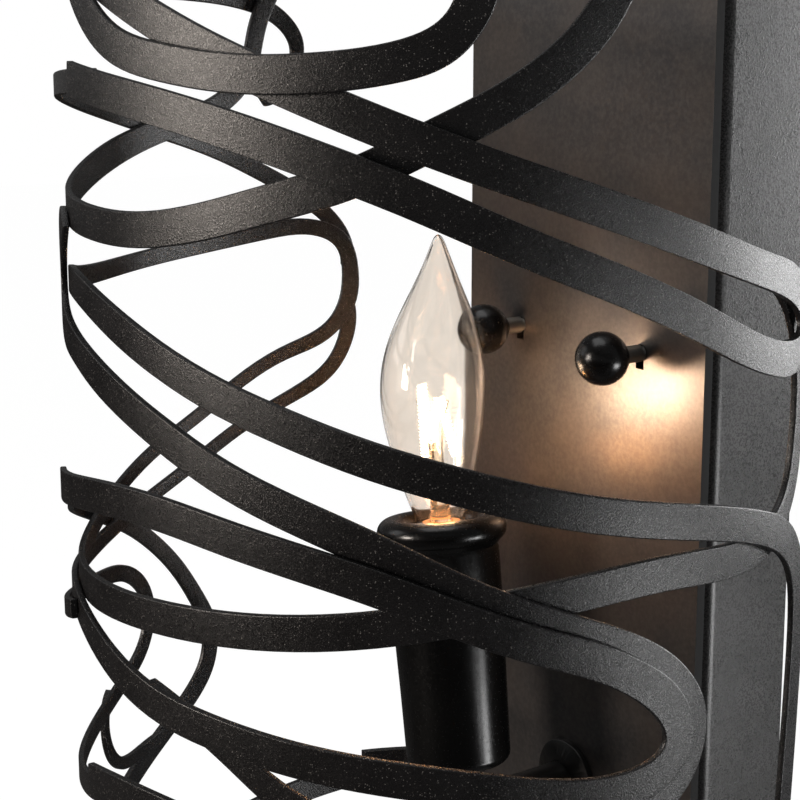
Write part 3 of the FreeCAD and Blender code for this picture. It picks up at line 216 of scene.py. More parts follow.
def satin_plate(name):
    """Patinated steel sheet under satin lacquer.

    To the eye it is a dark metallic brown-grey with cloudy patches and fine mottling, and it
    spreads the bulb's reflection into a soft glow. Its cut edges carry painted shade: they are
    turned near-black and not metallic, for the shade on the plate's side beside the box.
    """
    cloud_mm = 24
    mottle_mm = 1.5
    grit_mm = 0.9
    grit_depth_mm = 0.03
    stain_share = 0.22
    metal_share = 0.8
    facing_least = 0.8
    edge_dulling = 0.6
    material, tree = new_material(name)
    place = add(tree, "TexCoord").outputs["Object"]
    cloud = add(tree, "TexNoise", {"Vector": place, "Scale": per_metre(cloud_mm), "Detail": 5.0})
    mottle = add(
        tree,
        "TexNoise",
        {"Vector": place, "Scale": per_metre(mottle_mm), "Detail": 4.0, "Roughness": 0.65},
    )
    grit = add(tree, "TexNoise", {"Vector": place, "Scale": per_metre(grit_mm), "Detail": 2.0})
    patches = add(
        tree, "MapRange", {"Value": cloud.outputs["Fac"], "From Min": 0.36, "From Max": 0.66}
    )
    stains = add(
        tree,
        "MapRange",
        {
            "Value": mottle.outputs["Fac"],
            "From Min": 0.38,
            "From Max": 0.7,
            "To Max": stain_share,
        },
    )
    tone = add(
        tree,
        "Mix",
        {
            SHARE: patches.outputs[0],
            UNDER: linear(colours().plate_dark),
            OVER: linear(colours().plate_brown),
        },
        data_type="RGBA",
    )
    tone = add(
        tree,
        "Mix",
        {SHARE: stains.outputs[0], UNDER: tone.outputs[BLENDED], OVER: linear("#8f8984")},
        data_type="RGBA",
    )
    # Painted shade: faces whose normals point sideways (the cut edges) are made near-black and not metallic below
    facing = add(tree, "SeparateXYZ", {"Vector": add(tree, "NewGeometry").outputs["Normal"]})
    front = add(tree, "Math", {0: facing.outputs["Y"]}, operation="ABSOLUTE")
    front = add(tree, "Math", {0: front.outputs[0], 1: facing_least}, operation="GREATER_THAN")
    tone = add(
        tree,
        "Mix",
        {SHARE: front.outputs[0], UNDER: linear("#040404"), OVER: tone.outputs[BLENDED]},
        data_type="RGBA",
    )
    metal = add(tree, "Math", {0: front.outputs[0], 1: metal_share}, operation="MULTIPLY")
    gloss = add(
        tree,
        "MapRange",
        {
            "Value": mottle.outputs["Fac"],
            "From Min": NOISE_LOW,
            "From Max": NOISE_HIGH,
            "To Min": 0.3,
            "To Max": 0.34,
        },
    )
    edge = add(
        tree, "MapRange", {"Value": front.outputs[0], "To Min": edge_dulling, "To Max": 0.0}
    )
    gloss = add(tree, "Math", {0: gloss.outputs[0], 1: edge.outputs[0]}, operation="ADD")
    bump = add(
        tree,
        "Bump",
        {"Height": grit.outputs["Fac"], "Strength": 0.5, "Distance": grit_depth_mm * MM},
    )
    shader = add(
        tree,
        "BsdfPrincipled",
        {
            "Base Color": tone.outputs[BLENDED],
            "Metallic": metal.outputs[0],
            "Roughness": gloss.outputs[0],
            "Normal": bump.outputs[0],
        },
    )
    add(tree, "OutputMaterial", {"Surface": shader.outputs[0]})
    return material


def enamel(name, base, rough, peel_mm=3.0, depth_mm=0.02):
    """Sprayed and baked enamel.

    To the eye it is smooth and deep, with bright highlights whose edges waver on a faint
    orange peel, and a trace of dust that softens them unevenly.
    """
    dust_mm = 0.8
    dust_dulling = 0.08
    material, tree = new_material(name)
    place = add(tree, "TexCoord").outputs["Object"]
    peel = add(tree, "TexNoise", {"Vector": place, "Scale": per_metre(peel_mm)})
    dust = add(tree, "TexNoise", {"Vector": place, "Scale": per_metre(dust_mm), "Detail": 2.0})
    gloss = add(
        tree,
        "MapRange",
        {
            "Value": dust.outputs["Fac"],
            "From Min": 0.35,
            "From Max": 0.7,
            "To Min": rough,
            "To Max": rough + dust_dulling,
        },
    )
    bump = add(
        tree,
        "Bump",
        {"Height": peel.outputs["Fac"], "Strength": 0.3, "Distance": depth_mm * MM},
    )
    shader = add(
        tree,
        "BsdfPrincipled",
        {
            "Base Color": linear(base),
            "Roughness": gloss.outputs[0],
            "Normal": bump.outputs[0],
            "IOR": COAT_IOR,
        },
    )
    add(tree, "OutputMaterial", {"Surface": shader.outputs[0]})
    return material


def bare_metal(name, base, rough, mark_mm, stretch=(1.0, 1.0, 1.0)):
    """Plated, drawn, rolled or spun metal.

    To the eye it has the metal's own colour in its highlights, broken up by fine tool marks.
    Real marks are under 0.1 mm wide. They are drawn coarser, so that they show.
    """
    mark_depth_mm = 0.03
    material, tree = new_material(name)
    place = add(tree, "TexCoord").outputs["Object"]
    drawn = add(tree, "Mapping", {"Vector": place, "Scale": stretch})
    marks = add(
        tree,
        "TexNoise",
        {"Vector": drawn.outputs[0], "Scale": per_metre(mark_mm), "Detail": 4.0},
    )
    gloss = add(
        tree,
        "MapRange",
        {"Value": marks.outputs["Fac"], "To Min": rough - 0.08, "To Max": rough + 0.14},
    )
    bump = add(
        tree,
        "Bump",
        {"Height": marks.outputs["Fac"], "Strength": 0.2, "Distance": mark_depth_mm * MM},
    )
    shader = add(
        tree,
        "BsdfPrincipled",
        {
            "Base Color": linear(base),
            "Metallic": 1.0,
            "Roughness": gloss.outputs[0],
            "Normal": bump.outputs[0],
        },
    )
    add(tree, "OutputMaterial", {"Surface": shader.outputs[0]})
    return material


def moulded(name, base, rough):
    """Moulded resin or extruded plastic.

    To the eye it is one even colour with a soft matt skin. The real skin's grain is about
    0.05 mm. It is drawn coarser, so that it shows.
    """
    grain_mm = 0.7
    grain_depth_mm = 0.05
    material, tree = new_material(name)
    place = add(tree, "TexCoord").outputs["Object"]
    grain = add(tree, "TexNoise", {"Vector": place, "Scale": per_metre(grain_mm), "Detail": 2.0})
    bump = add(
        tree,
        "Bump",
        {"Height": grain.outputs["Fac"], "Strength": 0.3, "Distance": grain_depth_mm * MM},
    )
    gloss = add(
        tree,
        "MapRange",
        {"Value": grain.outputs["Fac"], "To Min": rough - 0.06, "To Max": rough + 0.08},
    )
    shader = add(
        tree,
        "BsdfPrincipled",
        {
            "Base Color": linear(base),
            "Roughness": gloss.outputs[0],
            "Normal": bump.outputs[0],
            "IOR": RESIN_IOR,
        },
    )
    add(tree, "OutputMaterial", {"Surface": shader.outputs[0]})
    return material


def lamp_glass(name, tint, rough):
    """Blown or pressed soda-lime glass.

    To the eye it is clear and faintly warm, with slow waves, drawn out lengthwise, that bend
    what stands behind it. Lamplight passes through it without a dark shadow.
    """
    wave_mm = 9
    wave_depth_mm = 0.5
    lengthwise = (1.0, 1.0, 0.25)
    material, tree = new_material(name)
    place = add(tree, "TexCoord").outputs["Object"]
    drawn = add(tree, "Mapping", {"Vector": place, "Scale": lengthwise})
    waves = add(
        tree,
        "TexNoise",
        {"Vector": drawn.outputs[0], "Scale": per_metre(wave_mm), "Detail": 1.0},
    )
    bump = add(
        tree,
        "Bump",
        {"Height": waves.outputs["Fac"], "Strength": 0.5, "Distance": wave_depth_mm * MM},
    )
    glass = add(
        tree,
        "BsdfPrincipled",
        {
            "Base Color": linear(tint),
            "Roughness": rough,
            "IOR": COAT_IOR,
            "Transmission Weight": 1.0,
            "Normal": bump.outputs[0],
        },
    )
    clear = add(tree, "BsdfTransparent", {"Color": linear(tint)})
    path = add(tree, "LightPath")
    shader = add(
        tree,
        "MixShader",
        {0: path.outputs["Is Shadow Ray"], 1: glass.outputs[0], 2: clear.outputs[0]},
    )
    add(tree, "OutputMaterial", {"Surface": shader.outputs[0]})
    return material


def glowing_wire(name):
    """Drawn tungsten at white heat.

    To the eye it is a glaring coil, a little uneven along its winding. Its image mirrored in
    the black coats is dimmed, so that it adds no white sparks there.
    """
    winding_mm = 0.6
    mirrored_glow = 0.1
    material, tree = new_material(name)
    place = add(tree, "TexCoord").outputs["Object"]
    marks = add(tree, "TexNoise", {"Vector": place, "Scale": per_metre(winding_mm)})
    heat = add(
        tree, "MapRange", {"Value": marks.outputs["Fac"], "To Min": 0.8, "To Max": 1.2}
    )
    power = add(
        tree, "Math", {0: heat.outputs[0], 1: sizes().filament_glow}, operation="MULTIPLY"
    )
    mirrored = add(tree, "LightPath").outputs["Is Glossy Ray"]
    dimmed = add(tree, "MapRange", {"Value": mirrored, "To Min": 1.0, "To Max": mirrored_glow})
    power = add(tree, "Math", {0: power.outputs[0], 1: dimmed.outputs[0]}, operation="MULTIPLY")
    shader = add(
        tree,
        "BsdfPrincipled",
        {
            "Base Color": linear("#5a5650"),
            "Metallic": 1.0,
            "Roughness": 0.5,
            "Emission Color": linear(colours().glow),
            "Emission Strength": power.outputs[0],
        },
    )
    add(tree, "OutputMaterial", {"Surface": shader.outputs[0]})
    return material


def make_finishes():
    """One finish for each material slot of the record."""
    tone = colours()
    ring_marks = (1.0, 1.0, 6.0)
    return {
        # Sandy near-black on the ribbons and brackets, with light flecks
        "shade_black": powder_coat(
            "shade_fine_texture_powder_coat", tone.coat, "#1b1a1b", tone.fleck, 0.4, 0.28, 0.12
        ),
        # A coarser, greyer coat that shows the box's side as charcoal
        "box_black": powder_coat(
            "box_textured_powder_coat", "#242424", "#2d2c2c", "#6a6866", 0.6, 0.27, 0.08, 0.1
        ),
        "plate_black": satin_plate("plate_patinated_steel_lacquer"),
        # Wet-looking black with a small sharp highlight
        "gloss_black": enamel("ball_nut_gloss_enamel", "#0b0a0a", 0.2),
        # Black with a broad soft highlight
        "arm_black": enamel("arm_satin_enamel", "#151413", 0.32),
        # Deep black whose highlight runs down the cup in a slightly wavy line
        "cup_black": enamel("cup_satin_enamel", "#080808", 0.2, 5.0, 0.04),
        # Pale bluish grey, bright beside the black balls
        "zinc_steel": bare_metal("zinc_plated_steel", "#b9b9b4", 0.34, 0.5),
        "ground_green": enamel("ground_screw_green_enamel", "#1d6b33", 0.35),
        # Charcoal metal with a dull sheen
        "screw_black": bare_metal("black_oxide_screw_steel", "#2a2928", 0.4, 0.4),
        # Brown-black resin, matt
        "socket_phenolic": moulded("socket_moulded_phenolic", "#171412", 0.35),
        # Yellow metal, fairly bright
        "socket_brass": bare_metal("socket_rolled_brass", "#c9a04f", 0.28, 0.6),
        "bulb_glass": lamp_glass("bulb_blown_clear_glass", "#f4eee7", 0.07),
        # Thicker glass, so warmer and hazier
        "stem_glass": lamp_glass("stem_pressed_glass", "#fff3df", 0.12),
        # Warm yellow metal with marks round the cap
        "base_nickel": bare_metal("cap_spun_brass", "#e0a860", 0.3, 0.5, ring_marks),
        # Dull grey bead
        "contact_tin": bare_metal("contact_solder", "#a9a9a6", 0.45, 0.8),
        # Glassy black
        "base_insulator": enamel("cap_black_vitrite", "#120f12", 0.15),
        "tungsten": glowing_wire("white_hot_tungsten"),
        # Grey wire that catches the filament's light
        "support_wire": bare_metal("drawn_molybdenum_wire", "#8a8985", 0.35, 0.4),
        "insulation_black": moulded("black_wire_insulation", "#151515", 0.45),
        "insulation_white": moulded("white_wire_insulation", "#dcd9cf", 0.45),
        "insulation_green": moulded("green_wire_insulation", "#1f7a37", 0.45),
        "wire_nut_orange": moulded("wire_nut_moulded_polypropylene", "#e0701a", 0.4),
    }


# Modelling helpers


def deselect():
    if bpy.context.object and bpy.context.object.mode != "OBJECT":
        bpy.ops.object.mode_set(mode="OBJECT")
    bpy.ops.object.select_all(action="DESELECT")


def only(piece):
    """Makes a piece the one selected and active object."""
    deselect()
    piece.select_set(True)
    bpy.context.view_layer.objects.active = piece


def apply_modifiers(piece):
    only(piece)
    for modifier in list(piece.modifiers):
        bpy.ops.object.modifier_apply(modifier=modifier.name)


def finish_piece(piece, name, node, smooth=40.0, slot=None):
    """Names a piece, gives it its finish and body, and hides the node it stands for."""
    slot = slot or SLOT_OF[node]
    piece.name = name
    piece.data.name = name
    piece.data.materials.clear()
    piece.data.materials.append(finishes[slot])
    only(piece)
    bpy.ops.object.shade_smooth_by_angle(angle=math.radians(smooth))
    even = piece.modifiers.new("even_shading", "WEIGHTED_NORMAL")
    even.keep_sharp = True
    apply_modifiers(piece)
    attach(piece, BODY_OF[node])
    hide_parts(node)


def eased_copy(node_name, rounding, angle=35.0):
    """A copy of a node's solid, merged, with edges sharper than an angle rounded."""
    merge_distance = 0.002 * MM
    flat_angle = math.radians(0.4)
    mesh = NODES[node_name].data.copy()
    piece = bpy.data.objects.new(node_name + "_eased", mesh)
    bpy.context.scene.collection.objects.link(piece)
    only(piece)
    bpy.ops.object.mode_set(mode="EDIT")
    bpy.ops.mesh.select_all(action="SELECT")
    bpy.ops.mesh.remove_doubles(threshold=merge_distance)
    bpy.ops.mesh.dissolve_limited(angle_limit=flat_angle)
    bpy.ops.object.mode_set(mode="OBJECT")
    bevel = piece.modifiers.new("rounding", "BEVEL")
    bevel.width = rounding
    bevel.segments = 2
    bevel.limit_method = "ANGLE"
    bevel.angle_limit = math.radians(angle)
    apply_modifiers(piece)
    return piece


def turned(name, rows, segments, capped=True):
    """A lathe-turned shape about +Z: a ring is extruded and sized from row to row.

    A row is radius and height, and may add a sideways shift along X and Y, all in mm. A solid is
    capped at both ends. A ring ends on its first row, and an open shell gets its wall later.
    """
    merge_distance = 0.001 * MM
    full = [(*row, 0.0, 0.0)[:4] for row in rows]
    radius, height, x, y = full[0]
    deselect()
    bpy.ops.mesh.primitive_circle_add(
        vertices=segments,
        radius=radius * MM,
        fill_type="NGON" if capped else "NOTHING",
        location=(x * MM, y * MM, height * MM),
    )
    piece = bpy.context.object
    piece.name = name
    bpy.ops.object.transform_apply(location=True, rotation=True, scale=True)
    bpy.ops.object.mode_set(mode="EDIT")
    bpy.ops.mesh.select_all(action="SELECT")
    for (r0, z0, x0, y0), (r1, z1, x1, y1) in zip(full, full[1:]):
        shift = ((x1 - x0) * MM, (y1 - y0) * MM, (z1 - z0) * MM)
        bpy.ops.mesh.extrude_region_move(TRANSFORM_OT_translate={"value": shift})
        if r1 != r0:
            size = r1 / r0
            centre = (x1 * MM, y1 * MM, z1 * MM)
            bpy.ops.transform.resize(value=(size, size, 1), center_override=centre)
    bpy.ops.mesh.select_all(action="SELECT")
    bpy.ops.mesh.remove_doubles(threshold=merge_distance)
    bpy.ops.mesh.normals_make_consistent(inside=False)
    bpy.ops.object.mode_set(mode="OBJECT")
    return piece


def stand(piece, origin, direction):
    """Stands a piece made about +Z on a point, along a direction, with its place in its mesh."""
    turn = Vector((0, 0, 1)).rotation_difference(direction)
    piece.matrix_world = Matrix.Translation(origin) @ turn.to_matrix().to_4x4()
    only(piece)
    bpy.ops.object.transform_apply(location=True, rotation=True, scale=True)


def lean_point(point_mm):
    """A point given on the upright candle, from the rim's centre, as it stands leaned."""
    turn = Vector((0, 0, 1)).rotation_difference(CANDLE_AXIS)
    return RIM_CENTRE + turn @ (Vector(point_mm) * MM)


def wall_end(low, high):
    """The middle of the side of a box that faces the wall."""
    return Vector(((low.x + high.x) / 2, high.y, (low.z + high.z) / 2))


def arc_rows(centre_radius, centre_height, radius, start, end, steps):
    """Rows along an arc of a profile, in degrees from the outward direction."""
    rows = []
    for i in range(steps + 1):
        turn = math.radians(start + (end - start) * i / steps)
        across = centre_radius + radius * math.cos(turn)
        up = centre_height + radius * math.sin(turn)
        rows.append((across, up))
    return rows


# Settings that a user would change


class CandleLightSizes(bpy.types.PropertyGroup):
    ribbon_round: bpy.props.FloatProperty(
        name="Ribbon edge rounding",
        description="Radius of the rounded edges of the flat ribbons",
        default=0.42 * MM,
        min=0.05 * MM,
        max=0.8 * MM,
        unit="LENGTH",
    )
    sheet_round: bpy.props.FloatProperty(
        name="Sheet edge rounding",
        description="Radius of the rounded edges of plate, box, brackets and strap",
        default=0.35 * MM,
        min=0.05 * MM,
        max=0.8 * MM,
        unit="LENGTH",
    )
    thread_pitch: bpy.props.FloatProperty(
        name="Stud thread pitch",
        description="Distance from crest to crest of the stud threads",
        default=0.8 * MM,
        min=0.4 * MM,
        max=2.0 * MM,
        unit="LENGTH",
    )
    coil_radius: bpy.props.FloatProperty(
        name="Filament coil radius",
        description="Radius of the filament's winding",
        default=1.3 * MM,
        min=0.2 * MM,
        max=2.0 * MM,
        unit="LENGTH",
    )
    filament_glow: bpy.props.FloatProperty(
        name="Filament glow",
        description="Emission strength of the filament",
        default=150.0,
        min=0.0,
        max=2000.0,
    )


class CandleLightColours(bpy.types.PropertyGroup):
    coat: bpy.props.StringProperty(
        name="Coat", description="Powder coat colour as sRGB hex", default="#131213"
    )
    fleck: bpy.props.StringProperty(
        name="Fleck", description="Mica fleck colour as sRGB hex", default="#a6a3a0"
    )
    plate_dark: bpy.props.StringProperty(
        name="Plate dark", description="Dark tone of the plate as sRGB hex", default="#585758"
    )
    plate_brown: bpy.props.StringProperty(
        name="Plate brown", description="Brown tone of the plate as sRGB hex", default="#68625f"
    )
    glow: bpy.props.StringProperty(
        name="Glow", description="Colour of the filament's light as sRGB hex", default="#ffdcb4"
    )


# Operators, one for each piece or group of like pieces


class CANDLELIGHT_OT_finishes(bpy.types.Operator):
    """Make the finishes and give them to the parts that keep their own shape"""

    bl_idname = "candlelight.finishes"
    bl_label = "Make finishes"

    def execute(self, context):
        finishes.update(make_finishes())
        for name, node in NODES.items():
            node.data.materials.clear()
            node.data.materials.append(finishes[SLOT_OF[name]])
        return {"FINISHED"}


class CANDLELIGHT_OT_ribbons(bpy.types.Operator):
    """Round the edges of the flat ribbons of the shade"""

    bl_idname = "candlelight.ribbons"
    bl_label = "Dress ribbons"

    def execute(self, context):
        for name in sorted(NODES):
            if name.startswith("ribbon_"):
                piece = eased_copy(name, sizes().ribbon_round)
                finish_piece(piece, name + "_coated", name)
        return {"FINISHED"}


class CANDLELIGHT_OT_sheet_metal(bpy.types.Operator):
    """Round the edges of the plate, box, brackets and strap, and of their screws and nuts"""

    bl_idname = "candlelight.sheet_metal"
    bl_label = "Dress sheet metal"

    def execute(self, context):
        sheets = ("front_plate", "wall_box", "bracket_top", "bracket_bottom", "crossbar")
        screws = ("bracket_screws", "shade_screws", "ground_screw")
        nuts = ("arm_lock_nut", "cup_lock_nut", "stud_lock_nuts", "arm_lock_washer")
        screw_round = 0.2 * MM
        nut_round = 0.25 * MM
        groups = ((sheets, sizes().sheet_round), (screws, screw_round), (nuts, nut_round))
        for names, rounding in groups:
            for name in names:
                piece = eased_copy(name, rounding)
                finish_piece(piece, name + "_finished", name)
        return {"FINISHED"}


class CANDLELIGHT_OT_studs(bpy.types.Operator):
    """Turn the threaded studs and the two ball nuts"""

    bl_idname = "candlelight.studs"
    bl_label = "Turn studs and ball nuts"

    def execute(self, context):
        for side in ("left", "right"):
            self.turn_stud(side)
            self.turn_ball_nut(side)
        return {"FINISHED"}

    def turn_stud(self, side):
        node = "stud_" + side
        low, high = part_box(node)
        crest = (high.x - low.x) / 2 / MM
        length = (high.y - low.y) / MM
        pitch = sizes().thread_pitch / MM
        depth = 0.32
        foot_ease = 0.4
        tip_ease = 0.6
        rows = [(crest - foot_ease, 0.0)]
        for i in range(int((length - 2 * foot_ease) / pitch)):
            base = foot_ease + i * pitch
            rows.append((crest, base + pitch / 4))
            rows.append((crest - depth, base + pitch * 3 / 4))
        rows.append((crest - tip_ease, length))
        stud = turned("stud", rows, 32)
        stand(stud, wall_end(low, high), Vector((0, -1, 0)))
        finish_piece(stud, node + "_threaded", node, 25)

    def turn_ball_nut(self, side):
        """The ball with its collar, and the bright neck that stands out behind it."""
        node = "ball_nut_" + side
        low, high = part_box(node)
        foot = wall_end(low, high)
        out = Vector((0, -1, 0))
        ball = (high.x - low.x) / 2 / MM
        reach = (high.y - low.y) / MM - ball
        bore = 2.2
        bore_past_middle = 1.3
        collar = 3.1
        collar_thickness = 0.6
        neck = 2.6
        neck_ease = 0.2
        rise = math.sqrt(ball * ball - collar * collar)
        shoulder = reach - rise - collar_thickness
        start = math.degrees(math.atan2(-rise, collar))
        almost_top = 89.5
        rows = [(bore, reach + bore_past_middle), (bore, shoulder), (collar, shoulder)]
        rows += arc_rows(0.0, reach, ball, start, almost_top, 48)
        piece = turned("ball", rows, 96)
        stand(piece, foot, out)
        finish_piece(piece, node + "_turned", node, 30)
        rows = [(bore, 0.0), (neck - neck_ease, 0.0), (neck, neck_ease)]
        rows += [(neck, shoulder), (bore, shoulder), (bore, 0.0)]
        sleeve = turned("sleeve", rows, 64, capped=False)
        stand(sleeve, foot, out)
        finish_piece(sleeve, node + "_neck", node, 30, "zinc_steel")


class CANDLELIGHT_OT_candle(bpy.types.Operator):
    """Turn the candle cup with its rolled rim, and ease the arm that carries it"""

    bl_idname = "candlelight.candle"
    bl_label = "Turn candle cup"

    def execute(self, context):
        self.turn_cup()
        for name in ("arm_tube", "arm_flange", "ball_elbow", "cup_collar"):
            piece = eased_copy(name, 0.3 * MM, 30)
            finish_piece(piece, name + "_finished", name, 30)
        return {"FINISHED"}

    def turn_cup(self):
        """The cup, with its heights from the middle of the rolled rim."""
        foot = -72.7
        foot_radius = 16.2
        bore = 4.8
        wall = 1.3
        corner = 3.2
        rim_middle = 15.9
        rim_bead = 4.3
        corner_centre = (foot_radius - corner, foot + corner)
        outside = [(16.6, -50.0), (17.2, -30.0), (17.35, -12.0), (17.3, -6.4), (17.0, -5.2)]
        inside = [(12.2, -2.6), (14.6, -6.2), (15.7, -9.0), (15.9, -30.0), (15.3, -50.0)]
        rows = [(bore, foot + wall), (bore, foot)]
        rows += arc_rows(*corner_centre, corner, -90, 0, 8)
        rows += outside
        rows += arc_rows(rim_middle, 0.0, rim_bead, -58, 180, 30)
        rows += inside
        rows += arc_rows(*corner_centre, corner - wall, 0, -90, 5)
        rows += [(bore, foot + wall)]
        cup = turned("cup", rows, 128, capped=False)
        stand(cup, RIM_CENTRE, CANDLE_AXIS)
        finish_piece(cup, "candle_cup_turned", "candle_cup", 30)


class CANDLELIGHT_OT_bulb(bpy.types.Operator):
    """Blow the bulb's glass and wind its filament"""

    bl_idname = "candlelight.bulb"
    bl_label = "Make bulb"

    def execute(self, context):
        self.blow_glass()
        coil = self.wind_coil()
        finish_piece(coil, "bulb_filament_wound", "bulb_filament", 60)
        return {"FINISHED"}

    def blow_glass(self):
        # height from the glass's foot, radius and bend of the tip, all in mm
        outline = [
            (0.0, 7.6, 0.0), (1.8, 8.15, 0.0), (4.4, 9.05, 0.0), (8.0, 10.2, 0.0),
            (12.4, 11.55, 0.0), (21.0, 13.6, 0.0), (27.9, 15.2, 0.06), (34.8, 16.2, 0.25),
            (41.9, 16.55, 0.6), (48.8, 16.05, 1.1), (55.9, 14.65, 1.9), (62.8, 12.15, 2.8),
            (70.1, 8.8, 3.75), (77.3, 5.5, 4.7), (82.7, 3.35, 5.35), (86.3, 2.0, 5.6),
            (88.0, 1.0, 5.7),
        ]
        foot = 2.7
        wall = 0.7
        tip_turn = math.radians(56)
        tip_radius = 0.02
        tip_rise = 0.35
        along_x = math.cos(tip_turn)
        along_y = math.sin(tip_turn)
        rows = [
            (radius, foot + height, bend * along_x, bend * along_y)
            for height, radius, bend in outline
        ]
        last = rows[-1]
        rows.append((tip_radius, last[1] + tip_rise, last[2], last[3]))
        shell = turned("glass", rows, 48, capped=False)
        smooth = shell.modifiers.new("smooth", "SUBSURF")
        smooth.levels = 2
        smooth.render_levels = 2
        apply_modifiers(shell)
        stand(shell, RIM_CENTRE, CANDLE_AXIS)
        solid = shell.modifiers.new("wall", "SOLIDIFY")
        solid.thickness = wall * MM
        solid.offset = -1
        apply_modifiers(shell)
        finish_piece(shell, "bulb_glass_blown", "bulb_glass", 60)

    def wind_coil(self):
        """A filament wound on a path that climbs to a peak, dips and climbs again."""
        path = [Vector(point) for point in (
            (-8.0, 1.5, 22.0), (-6.8, 0.8, 33.0), (-5.0, 0.0, 45.0), (-3.2, -0.6, 35.0),
            (-0.8, -0.8, 28.0), (1.6, -0.4, 36.0), (3.4, 0.4, 41.0), (5.6, 1.0, 33.0),
            (8.2, 1.6, 23.0),
        )]
        turns_per_mm = 0.9
        steps_per_turn = 8
        wire_radius = 0.24
        coil_radius = sizes().coil_radius / MM
        spine = []
        for first, second in zip(path, path[1:]):
            count = max(int((second - first).length * turns_per_mm * steps_per_turn), 2)
            spine += [first.lerp(second, i / count) for i in range(count)]
        curve = bpy.data.curves.new("filament", "CURVE")
        curve.dimensions = "3D"
        curve.bevel_depth = wire_radius * MM
        curve.bevel_resolution = 1
        curve.use_fill_caps = True
        spline = curve.splines.new("POLY")
        spline.points.add(len(spine) - 1)
        for i, centre in enumerate(spine):
            ahead = spine[min(i + 1, len(spine) - 1)] - spine[max(i - 1, 0)]
            side = ahead.cross(Vector((0, 1, 0))).normalized()
            over = ahead.cross(side).normalized()
            turn = 2 * math.pi * i / steps_per_turn
            swing = side * math.cos(turn) + over * math.sin(turn)
            point = lean_point(centre + swing * coil_radius)
            spline.points[i].co = (*point, 1)
        coil = bpy.data.objects.new("filament", curve)
        bpy.context.scene.collection.objects.link(coil)
        only(coil)
        bpy.ops.object.convert(target="MESH")
        return bpy.context.object


